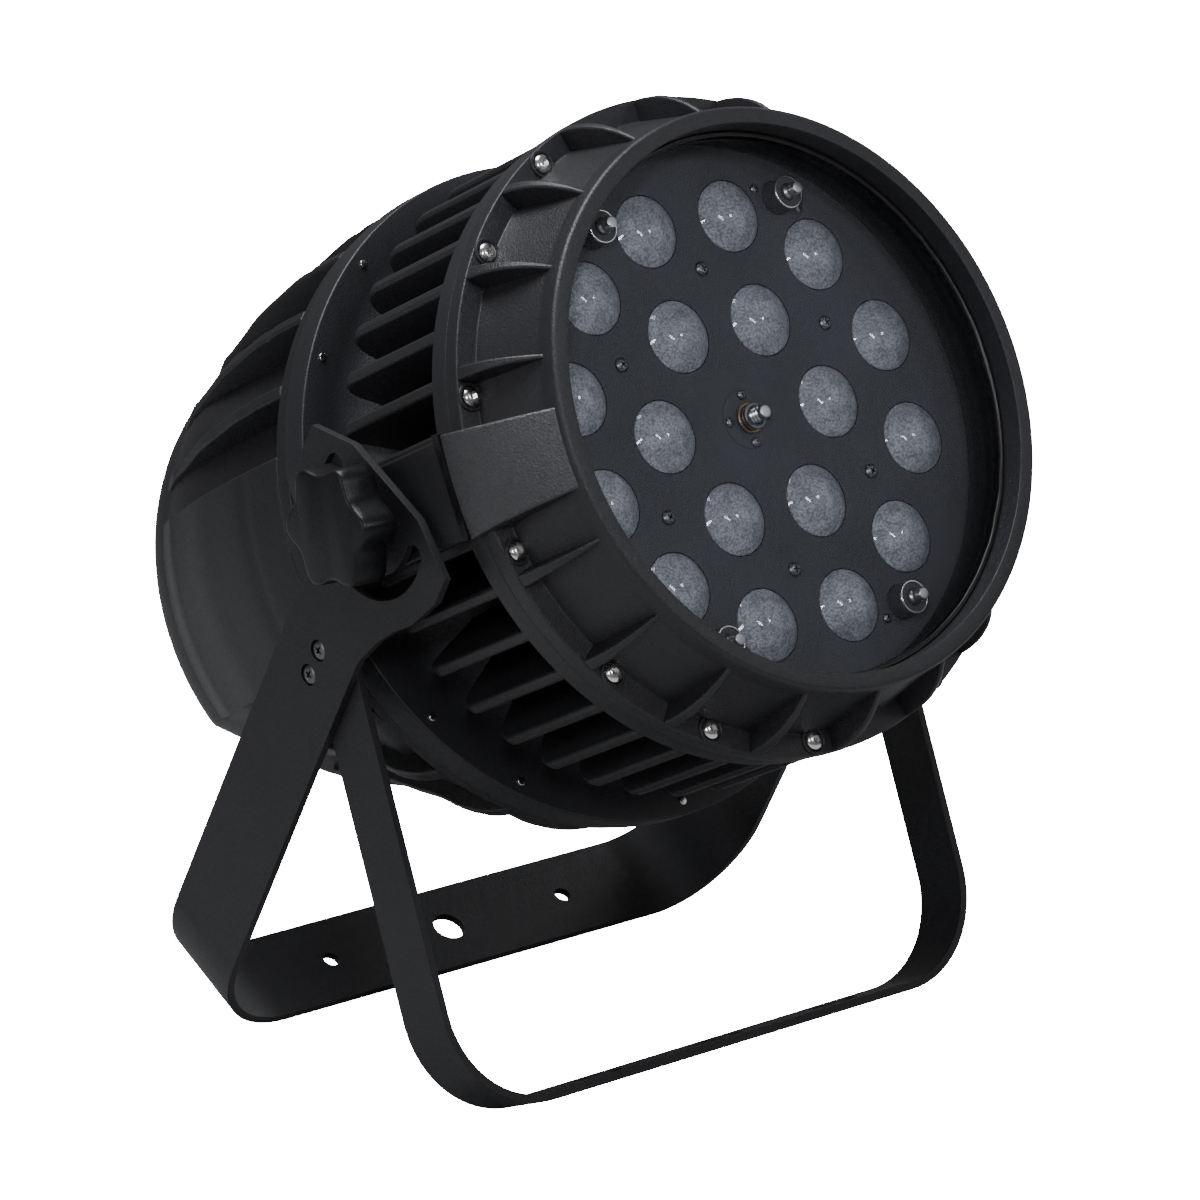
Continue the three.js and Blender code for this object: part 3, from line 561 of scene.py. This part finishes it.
# fin tips below, where the housing draws in towards the back
UNDERSIDE = [(162, -81), (161, -88), (158, -103), (150.5, -124), (144, -137), (138, -150),
             (130, -170), (121.5, -190), (114, -210), (108, -230), (103, -248), (98, -266)]
CHEEK_HALF = 50.5


def along(outline, steps):
    """Evenly spaced points on a smooth curve through an open outline."""
    out = []
    for i in range(len(outline) - 1):
        p0, p1, p2, p3 = (Vector(outline[max(0, min(len(outline) - 1, i + k))]) for k in (-1, 0, 1, 2))
        for k in range(steps):
            t = k / steps
            square = 2 * p0 - 5 * p1 + 4 * p2 - p3
            cube = 3 * p1 - p0 - 3 * p2 + p3
            out.append(tuple(0.5 * ((2 * p1) + (p2 - p0) * t + square * t * t + cube * t ** 3)))
    return out + [outline[-1]]


back = along([(135, -221), (132, -236), (126.5, -247), (116.5, -258), (108, -265), (99, -269.5)], 3)
wall = [(145.4, -90), (145.2, -105), (145, -120), (144.8, -135), (144.6, -150), (144.3, -165), (144, -180),
        (143, -192), (139.5, -208)]
inside = [(130, -225), (138, -190), (139, -165), (139, -140), (139, -115), (139, -95)]
flange = rounded([(162, -72.4, 0.8), (162, -81, 0.8), (145.5, -81, 1), (140, -72.4)])[:-1]
opening = [(96, -270), (88.5, -270), (88.5, -255), (84, -255), (84, -250), (112, -248)]
housing_profile = [(139, -72.4), *flange, *wall, *back, *opening, *inside]


def underside(z):
    """Radius of the fin tips below the lamp at a place along its axis."""
    for (r0, z0), (r1, z1) in zip(UNDERSIDE, UNDERSIDE[1:]):
        if z1 <= z <= z0:
            return r0 + (r1 - r0) * (z0 - z) / (z0 - z1)
    return UNDERSIDE[0][0] if z > -81 else UNDERSIDE[-1][0]


def drawn_in(part):
    """Brings the lower part of the shell in, below the cheeks, to some way under the fin tips."""
    fin_height, wall_thickness, reach = 10, 4, 40
    verts = []
    count = len(housing_profile)
    for i, (x, y, z) in enumerate(part[0]):
        radius = math.hypot(x, y)
        limit = underside(z) - fin_height * min(max((-z - 84) / 20, 0), 1) * min(max((z + 268) / 60, 0), 1)
        if z < -82 and y < -CHEEK_HALF and radius > 89:
            if i % count >= count - len(inside) or radius < 113:
                limit -= wall_thickness
            blend = min(max((-CHEEK_HALF - y) / reach, 0), 1)
            scale = min(1, 1 + (limit / radius - 1) * blend)
            x, y = x * scale, y * scale
        verts.append((x, y, z))
    return verts, part[1]


on_head("housing_shell", [drawn_in(lathe(housing_profile, 240))], HOUSING, "black_cast",
        replaces=["rear_housing", "rear_cap"])
FIN = 6.8
fin_edge = along(ENVELOPE, 3)
upper_fin = [*fin_edge, (132, -226), (138, -200), (139, -150), (139, -81)]
lower_root = [(r - 14, z) for r, z in reversed(UNDERSIDE[3:-1])]
lower_fin = [*along(UNDERSIDE[:-1], 3), *lower_root, (140, -100), (140, -81)]
fins = [radial(upper_fin, FIN, a) for a in range(-60, 61, 15)]
fins += [radial(lower_fin, FIN, a) for a in (-120, -135, -150, -165, 180, 165, 150, 135, 120)]
on_head("housing_fins", fins, HOUSING, "black_cast", bevel=1.6)


def cheek(side):
    """The smooth side of the housing, flush with the fin tips."""
    outline = [*fin_edge, (132, -232)]
    verts, faces = [], []
    steps = 24
    loop = outline + [(100, s) for r, s in outline][::-1]
    for i in range(steps + 1):
        for r, s in loop:
            half = math.degrees(math.asin(CHEEK_HALF / r))
            verts.append((*clock(r, side * (90 - half + 2 * half * i / steps)), s))
    count = len(loop)
    for i in range(steps):
        for k in range(count):
            a, b = i * count + k, i * count + (k + 1) % count
            faces.append((a, b, b + count, a + count))
    faces.append(tuple(range(count)))
    faces.append(tuple(steps * count + k for k in range(count)))
    return verts, faces


on_head("housing_cheeks", [cheek(1), cheek(-1)], HOUSING, "black_cast", bevel=1.2)
housing_screw = moved(button_head(4.0, 2.2, 1.5), UPSIDE_DOWN)
housing_screws = [spot(*clock(156, a), -81, housing_screw) for a in FLANGE_SCREWS]
on_head("housing_screws", housing_screws, STAINLESS, "bright_steel")

# ---- rear panel ---------------------------------------------------------------------------------
FACE, PANEL_BACK = -258.3, -255.3
panel = turned([(0, FACE), (88, FACE, 0.5), (88, PANEL_BACK), (0, PANEL_BACK)], 96)
on_head("panel_plate", [panel], YOKE, "black_plate", replaces=["rear_panel"])
screen = slab(rounded([(-27, 22, 2), (27, 22, 2), (27, 46, 2), (-27, 46, 2)]), FACE - 1.9, FACE - 0.1)
on_head("display", [screen], SCREEN, "dark_screen", replaces=["display_window"], bevel=0.4)
surround = slab(rounded([(-30, 19, 3), (30, 19, 3), (30, 49, 3), (-30, 49, 3)]), FACE - 0.9, FACE - 0.05)
on_head("display_frame", [surround], SOCKET, "socket_black", bevel=0.3)
button = turned([(0, FACE - 2.4), (3.6, FACE - 2.4, 0.6), (3.6, PANEL_BACK), (0, PANEL_BACK)], 32)
for i, x in enumerate((-27, -9, 9, 27)):
    add(f"menu_button_{i + 1}", [spot(x, 8, 0, button)], SOCKET, f"button_{i + 1}", "button_grey",
        replaces=[f"button_{i + 1}"])


def socket(name, x, y, outer, inner):
    """A round socket with three pins, at a place on the rear panel."""
    shell = turned([(inner, FACE - 8.3, 0.5), (outer, FACE - 8.3, 0.8), (outer, FACE - 0.3), (0, FACE - 0.3),
                    (0, FACE - 2.3), (inner, FACE - 2.3)], 64)
    on_head(name + "_shell", [spot(x, y, 0, shell)], SOCKET, "socket_black", replaces=[name])
    pin = turned([(0, FACE - 5.5), (1.1, FACE - 5.5, 0.4), (1.1, FACE - 2.2), (0, FACE - 2.2)], 16)
    pins = [spot(x + inner * 0.5 * math.cos(a), y + inner * 0.5 * math.sin(a), 0, pin)
            for a in (math.pi / 2, math.pi * 7 / 6, math.pi * 11 / 6)]
    on_head(name + "_pins", pins, BRONZE, "bronze")


socket("power_in_socket", -32, -30, 13, 10.5)
socket("power_out_socket", 32, -30, 13, 10.5)
socket("signal_in_socket", -15, -60, 10, 7.8)
socket("signal_out_socket", 15, -60, 10, 7.8)
valve = spot(62, 20, 0, slab(hexagon(8), FACE - 6.3, FACE - 0.3))
on_head("vent", [valve], SOCKET, "socket_black", replaces=["vent_valve"], bevel=0.6)
panel_screw = moved(cross_head(2.8, 1.6), UPSIDE_DOWN)
panel_screws = [spot(*clock(82, 30 + 60 * k), FACE, panel_screw) for k in range(6)]
on_head("panel_screws", panel_screws, STAINLESS, "bright_steel")


def eye_bow():
    """Half a ring of round rod that stands on the panel."""
    steps, sides, rod = 48, 16, 2.6
    verts = []
    for i in range(steps + 1):
        a = math.pi * i / steps
        centre = Vector((11 * math.cos(a), 68, FACE - 0.3 - 12.0 * math.sin(a)))
        out = Vector((math.cos(a), 0, -math.sin(a)))
        for k in range(sides):
            b = 2 * math.pi * k / sides
            verts.append(centre + out * rod * math.cos(b) + Vector((0, rod * math.sin(b), 0)))
    faces = rings_to_faces(steps + 1, sides)
    faces += [tuple(range(sides)), tuple(steps * sides + k for k in range(sides))]
    return verts, faces


on_head("eye_bow", [eye_bow()], STAINLESS, "bright_steel", replaces=["safety_eye"])

# ---- inside the head ----------------------------------------------------------------------------
board = lathe([(6, 34.3), (126, 34.3), (126, 36), (6, 36)], 96)
on_head("emitter_board", [board], BOARD, "board_white", replaces=["led_board"])
ROD_ANGLES = (30, 150, 210, 330)
RODS = [clock(116, a) for a in ROD_ANGLES]
rod = turned([(0, 31.4), (4, 31.4), (4, 84), (3, 85), (3, 90, 0.6), (0, 90)], 40)
for i, (x, y) in enumerate(RODS):
    on_head(f"rod_{i + 1}", [spot(x, y, 0, rod)], STEEL, "bright_steel", replaces=[f"guide_rod_{i + 1}"])

# the pieces that keep their CAD shape
KEPT = [("stepper_motor", DARK_STEEL, "motor_dark"), ("chassis_tray", SHEET, "sheet_metal"),
        ("power_supply", SHEET, "sheet_metal"), ("driver_board", GREEN, "board_green")]
for name, material, slot in KEPT:
    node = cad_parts[name]
    node.data.materials.clear()
    node.data.materials.append(material)


# ---- zoom carrier -------------------------------------------------------------------------------
def on_carrier(name, parts, material, slot, **more):
    return add(name, parts, material, "lens_carrier", slot, **more)


PLATE_BACK, PLATE_FRONT = 70, 73
LENSES = [clock(51.4, 30 + 60 * k) for k in range(6)] + [clock(99.3, 15 + 30 * k) for k in range(12)]


def holed_disc(radius, holes, low, high, around=180):
    """A disc with round holes, each given as (x, y, radius)."""
    loops = [[Vector((*clock(radius, 360 * i / around), 0)) for i in range(around)]]
    for x, y, r in holes:
        loops.append([Vector((x, y, 0)) + Vector(p) for p in circle(r, 0, 48)])
    flat = [p for loop in loops for p in loop]
    caps = tessellate_polygon(loops)
    verts = [(p.x, p.y, z) for z in (low, high) for p in flat]
    total = len(flat)
    faces = [tuple(t) for t in caps] + [tuple(total + i for i in t) for t in caps]
    start = 0
    for loop in loops:
        n = len(loop)
        for i in range(n):
            a, b = start + i, start + (i + 1) % n
            faces.append((a, b, total + b, total + a))
        start += n
    return verts, faces


plate_holes = [(x, y, 17.9) for x, y in LENSES] + [(x, y, 8.6) for x, y in RODS] + [(0, 0, 7.8)]
plate = holed_disc(132.8, plate_holes, PLATE_BACK, PLATE_FRONT)
on_carrier("carrier_plate", [plate], PLATE, "plate_grey", replaces=["lens_plate"], smooth=50)


def cap(radius, height, base, low):
    """A shallow dome on a short cylinder, as a (radius, z) outline."""
    ball = (radius * radius + height * height) / (2 * height)
    swing = math.asin(radius / ball)
    centre = base + height - ball
    dome = [(ball * math.sin(swing * k / 10), centre + ball * math.cos(swing * k / 10)) for k in range(11)]
    return dome + [(radius, low)]


optic = lathe(cap(17.3, 6.6, 72.9, PLATE_BACK) + [(15, 68), (9, 62), (0, 62)], 64)
for i, (x, y) in enumerate(LENSES):
    on_carrier(f"optic_{i + 1:02d}", [spot(x, y, 0, optic)], LENS, "clear_lens",
               replaces=[f"lens_{i + 1:02d}"])
plate_screws = []
for k in range(6):
    turn = Matrix.Rotation(random.uniform(0, 1.5), 4, "Z")
    plate_screws.append(spot(*clock(73.7, 60 * k), PLATE_FRONT, moved(cross_head(3.6, 1.9), turn)))
on_carrier("plate_screws", plate_screws, DARK_STEEL, "dark_steel")
nut = turned([(4.4, 60), (7.3, 60), (7.3, 73.1), (14.5, 73.1), (14.5, 73.4, 0.2),
              (5.6, 73.4), (5.6, 79.5, 0.8), (4.4, 79.5)], 64)
on_carrier("nut", [nut], PLATE, "plate_grey", replaces=["lead_nut"])


def ring(inner, outer, low, height):
    """A thin ring round the lead nut."""
    return turned([(inner, low), (outer, low, 0.5), (outer, low + height, 0.5), (inner, low + height)], 48)


on_carrier("nut_rings", [ring(5.2, 7.4, 74.6, 1.1)], BRONZE, "bronze")
on_carrier("nut_coils", [ring(4.6, 6.5, z, 1.2) for z in (76.3, 78.2)], DARK_STEEL, "dark_steel")
nut_screws = [spot(*clock(11.6, 90 * k), 73.7, cross_head(2.4, 1.2)) for k in range(4)]
on_carrier("nut_screws", nut_screws, DARK_STEEL, "dark_steel")
bearing = turned([(4.3, 66), (8.2, 66), (8.2, 82.4, 0.5), (4.3, 82.4)], 48)
on_carrier("rod_bearings", [spot(x, y, 0, bearing) for x, y in RODS], PLATE, "dark_steel")
bearing_ring = turned([(7.2, 82.3), (8.2, 82.3), (8.2, 82.9, 0.3), (7.2, 82.9, 0.3)], 48)
on_carrier("bearing_rings", [spot(x, y, 0, bearing_ring) for x, y in RODS], STAINLESS, "bright_steel")
bearing_screws = [spot(*clock(116, a + d), PLATE_FRONT, cross_head(2.4, 1.3))
                  for a in ROD_ANGLES for d in (-6.6, 6.6)]
on_carrier("bearing_screws", bearing_screws, DARK_STEEL, "dark_steel")


def thread():
    """The lead screw's thread, as one ridge that winds up the core."""
    steps, turns, pitch, start = 24, 25 + 1 / 3, 2.0, 33
    total = round(turns * steps)
    ridge = ((3.2, 0.1), (4.0, 0.7), (4.0, 1.2), (3.2, 1.9))
    verts = []
    for i in range(total + 1):
        a, z = 2 * math.pi * i / steps, start + pitch * i / steps
        verts += [(r * math.sin(a), r * math.cos(a), z + d) for r, d in ridge]
    faces = []
    for i in range(total):
        for k in range(3):
            a = i * 4 + k
            faces.append((a, a + 1, a + 5, a + 4))
    return verts, faces


core = turned([(0, 23), (3.3, 23), (3.3, 87, 0.7), (0, 87)], 32)
add("screw_thread", [thread(), core], STEEL, "lead_screw", "bright_steel", replaces=["lead_screw"])


# ---- yokes --------------------------------------------------------------------------------------
def bent_strap(name, half_width, length, outline, holes, bar_holes, place, replaces, centre=0.0):
    """Sheet metal: a flat blank (distance along the strap from the tilt axis, across), bent to a U.

    The outline and holes are those of one leg and are mirrored; bar holes are given from the bar's middle."""
    thickness, bend, steps = 4.0, 52, 20
    mid = half_width - thickness / 2
    radius = bend - thickness / 2
    leg = length - thickness / 2 - radius
    quarter = radius * math.pi / 2
    bar = 2 * (mid - radius)
    total = 2 * (leg + quarter) + bar

    def at(u, depth):
        """Place of a point at u along the middle of the strap and at a depth outward from it."""
        flip = -1
        if u > total / 2:
            u, flip = total - u, 1
        if u <= leg:
            x, y, nx, ny = mid, u, 1, 0
        elif u <= leg + quarter:
            a = (u - leg) / radius
            x, y = mid - radius + radius * math.cos(a), leg + radius * math.sin(a)
            nx, ny = math.cos(a), math.sin(a)
        else:
            x, y, nx, ny = mid - radius - (u - leg - quarter), leg + radius, 0, 1
        return flip * (x + nx * depth), y + ny * depth

    loops = [[(u, w) for u, w in outline] + [(total - u, w) for u, w in reversed(outline)]]
    for u, w, shape in holes:
        loops.append([(u + a, w + b) for a, b in shape])
        loops.append([(total - u - a, w + b) for a, b in shape])
    for x, w, shape in bar_holes:
        loops.append([(total / 2 + x + a, w + b) for a, b in shape])
    flat = [Vector((u, w, 0)) for loop in loops for u, w in loop]
    work = bmesh.new()
    made = [work.verts.new(p) for p in flat]
    for tri in tessellate_polygon([[Vector((u, w, 0)) for u, w in loop] for loop in loops]):
        work.faces.new([made[i] for i in tri])
    work.normal_update()
    bmesh.ops.dissolve_limit(work, angle_limit=0.01, verts=work.verts, edges=work.edges)
    cuts = [leg + quarter * k / steps for k in range(steps + 1)]
    for u in cuts + [total - c for c in cuts]:
        everything = work.verts[:] + work.edges[:] + work.faces[:]
        bmesh.ops.bisect_plane(work, geom=everything, plane_co=(u, 0, 0), plane_no=(1, 0, 0))
    mesh = bpy.data.meshes.new(name)
    work.to_mesh(mesh)
    work.free()
    count = len(mesh.vertices)
    verts, faces = [], []
    for depth in (-thickness / 2, thickness / 2):
        for v in mesh.vertices:
            x, y = at(v.co.x, depth)
            verts.append((x, y, v.co.y + centre))
    uses = {}
    for p in mesh.polygons:
        ring = list(p.vertices)
        faces.append(tuple(ring))
        faces.append(tuple(count + i for i in ring))
        for a, b in zip(ring, ring[1:] + ring[:1]):
            key = (min(a, b), max(a, b))
            uses[key] = uses.get(key, 0) + 1
    faces += [(a, b, count + b, count + a) for (a, b), n in uses.items() if n == 1]
    bpy.data.meshes.remove(mesh)
    return build(name, verts, faces, place, YOKE, "stand", "black_plate", replaces=replaces,
                 bevel=0.5, segments=2, limit=50)


def hole(wide, high, count=28):
    """A round or oval hole's outline, clockwise."""
    angles = [-2 * math.pi * i / count for i in range(count)]
    return [(wide * math.cos(a), high * math.sin(a)) for a in angles]


def curved_slot(radius, width, reach):
    """A slot with round ends that runs to the same angle on both sides of the strap's middle."""
    x, y = radius * math.cos(math.radians(reach)), radius * math.sin(math.radians(reach))
    outer = arc(0, 0, radius + width / 2, -reach, reach, 40)
    inner = arc(0, 0, radius - width / 2, reach, -reach, 40)
    first_end = arc(x, y, width / 2, reach, reach + 180, 8)[1:-1]
    last_end = arc(x, -y, width / 2, 180 - reach, 360 - reach, 8)[1:-1]
    return outer + first_end + inner + last_end


PIVOT_HEIGHT = 291.8
STRAP_HALF = 25.4
FRONT_HALF = 15.5
YOKE_SCREWS = (83.2, 98.7)
# lengths from the tilt axis to the bar, such that the bar's lower edge is on the floor
rear_length = (PIVOT_HEIGHT - STRAP_HALF * math.sin(REAR_LEAN)) / math.cos(REAR_LEAN)
front_length = (PIVOT_HEIGHT - 76.9 * math.sin(FRONT_LEAN)) / math.cos(FRONT_LEAN)
head_plate = [(-22, -27), (-10, -55), (5, -55, 6), (25, -47), (37, -38.5), (49, -32), (68, -STRAP_HALF, 25)]
edge = rounded([(-60, -27), *head_plate, (140, -STRAP_HALF)], 6)[1:-1]
rear_half = [tuple(p) for p in edge] + [(150, -STRAP_HALF)]
mirror = [(u, -w) for u, w in rear_half]
leg_holes = [(0, 0, hole(4.6, 4.6)), (0, 0, curved_slot(32.85, 11.5, 98))]
leg_holes += [(row, 0, hole(5.3, 5.3, 24)) for row in YOKE_SCREWS]
round_holes = [(0, 0, hole(8.3, 8.3)), (-76, 0, hole(4.2, 4.2)), (76, 0, hole(4.2, 4.2))]
bent_strap("rear_yoke_strap", 172.5, rear_length, mirror[::-1] + rear_half, leg_holes, round_holes, REAR,
           ["rear_yoke"])
front_outline = [(150, FRONT_HALF), (78, FRONT_HALF), (57.6, 36.0), (31.3, 3.2), (56.3, -16.8),
                 (60, -FRONT_HALF), (150, -FRONT_HALF)]
ovals = [(x, 0, hole(14.4, 9.2, 32)) for x in (0, -76.2, 76.2)]
bent_strap("front_yoke_strap", 168.2, front_length, front_outline, [], ovals, FRONT, ["front_yoke"],
           centre=61.4)

shank = lathe([(0, -9.5), (2.4, -9.5), (2.4, -2), (0, -2)], 20)
screw_places = [(side, row) for side in (-1, 1) for row in YOKE_SCREWS]
for i, (side, row) in enumerate(screw_places):
    turn = Matrix.Translation((side * 172.0, row, 0)) @ laid_sideways(side)
    head = moved(spot(0, 0, -0.9, cross_head(4.6, 1.1)), turn)
    add(f"countersunk_{i + 1}", [head, moved(shank, turn)], DARK_STEEL, "stand", "dark_steel",
        place=REAR, replaces=[f"yoke_screw_{i + 1}"])


# ---- knobs --------------------------------------------------------------------------------------
def knob_mesh():
    """Six soft lobes with a flat face; the lobes' edges roll over towards it."""
    sides = 144
    # distance from the lamp's middle, and how far the outline stands out there
    rows = [(180.4, -2.2), (180.9, -1.0), (182.0, -0.2), (184.5, 0.0), (190, 0.0),
            (195.6, -0.1), (197.9, -0.4), (198.8, -0.8), (199.4, -1.5), (199.7, -2.7)]
    verts = []
    for x, grow in rows:
        for i in range(sides):
            a = 2 * math.pi * i / sides
            wave = math.cos((math.degrees(a) - 50) * 6 * math.pi / 180)
            r = 27.6 + 2.95 * wave - 0.35 * (1 - wave * wave) + grow
            verts.append((r * math.cos(a), r * math.sin(a), x))
    faces = rings_to_faces(len(rows), sides)
    faces.append(tuple(range(sides)))
    faces.append(tuple((len(rows) - 1) * sides + i for i in range(sides)))
    return verts, faces


for name, side in (("left", -1), ("right", 1)):
    # z runs out along the tilt axis, x to the back of the lamp and y up
    place = frame_matrix(Vector((0, 1, 0)), Vector((0, 0, 1)), Vector((side, 0, 0)), PIVOT)
    collar = turned([(0, 173.2), (13, 173.2, 0.8), (13, 181), (0, 181)], 64)
    add(f"knob_grip_{name}", [knob_mesh(), collar], KNOB, f"{name}_knob", "knob_black", place=place,
        replaces=[f"knob_{name}"], smooth=40)
    stud = lathe([(0, 140), (4, 140), (4, 193), (0, 193)], 32)
    add(f"stud_{name}", [stud], STEEL, f"{name}_knob", "bright_steel", place=place,
        replaces=[f"knob_stud_{name}"])
    washer = lathe([(5, 164.7), (16, 164.7), (16, 168.2), (5, 168.2)], 64)
    add(f"friction_washer_{name}", [washer], RUBBER, "head", "black_rubber", place=place)


# ---- floor, light and camera --------------------------------------------------------------------
def floor():
    mesh = bpy.data.meshes.new("floor")
    size = 12
    corners = [(-size, -size, 0), (size, -size, 0), (size, size, 0), (-size, size, 0)]
    mesh.from_pydata(corners, [], [(0, 1, 2, 3)])
    material, tree, shader = new_material("floor_white")
    shader.inputs["Base Color"].default_value = (0.4, 0.4, 0.4, 1)
    shader.inputs["Roughness"].default_value = 0.9
    shader.inputs["Emission Color"].default_value = (1, 1, 1, 1)
    tree.links.new(seen_and_lit(tree, 40, 0), shader.inputs["Emission Strength"])
    mesh.materials.append(material)
    piece = bpy.data.objects.new("floor", mesh)
    bpy.context.scene.collection.objects.link(piece)


def softbox(name, place, aim, width, height, power, roll=0.0):
    light = bpy.data.lights.new(name, "AREA")
    light.shape = "RECTANGLE"
    light.size, light.size_y = width, height
    light.energy = power
    light.color = (0.93, 0.95, 1.0)
    lamp = bpy.data.objects.new(name, light)
    lamp.location = place
    lamp.rotation_euler = (Vector(aim) - Vector(place)).to_track_quat("-Z", "Y").to_euler()
    lamp.rotation_euler.rotate_axis("Z", math.radians(roll))
    bpy.context.scene.collection.objects.link(lamp)


def seen_and_lit(tree, seen, lit):
    """One strength for what the camera sees directly and another for the light that it gives."""
    path = tree.nodes.new("ShaderNodeLightPath")
    pick = tree.nodes.new("ShaderNodeMapRange")
    pick.inputs["To Min"].default_value = lit
    pick.inputs["To Max"].default_value = seen
    tree.links.new(path.outputs["Is Camera Ray"], pick.inputs["Value"])
    return pick.outputs["Result"]


floor()
target = (0, 0, 0.25)
softbox("left_side", (-2.3, 0.35, 0.55), target, 0.8, 0.9, 7)
softbox("strip_by_camera", (-1.13, -1.29, 1.12), target, 0.13, 0.46, 9, roll=-35)
softbox("strip_in_front", (0.05, -1.62, 1.26), target, 0.13, 0.42, 5, roll=35)
softbox("spot_right", (0.75, -1.5, 1.19), target, 0.16, 0.16, 2)
softbox("right_front", (1.9, -1.3, 1.1), target, 1.4, 1.2, 3)
softbox("top", (-0.3, 0.3, 2.1), target, 1.2, 1.2, 56)
softbox("right_edge", (1.9, 0.5, 0.9), target, 0.7, 1.2, 8)
world = bpy.data.worlds.new("studio")
bpy.context.scene.world = world
world.use_nodes = True
sky = world.node_tree
sky.nodes["Background"].inputs["Color"].default_value = (1, 1, 1, 1)
sky.links.new(seen_and_lit(sky, 40, 0.15), sky.nodes["Background"].inputs["Strength"])

camera = bpy.data.cameras.new("camera")
camera.sensor_width = 36
camera.lens = 177.157
holder = bpy.data.objects.new("camera", camera)
right = Vector((0.75658, -0.65382, -0.01070))
up = Vector((0.18136, 0.19409, 0.96408))
back = right.cross(up)
turn = Matrix((right, up, back)).transposed().to_4x4()
holder.matrix_world = Matrix.Translation(PIVOT + Vector((-1.7975, -2.0520, 0.6800))) @ turn
bpy.context.scene.collection.objects.link(holder)
bpy.context.scene.camera = holder
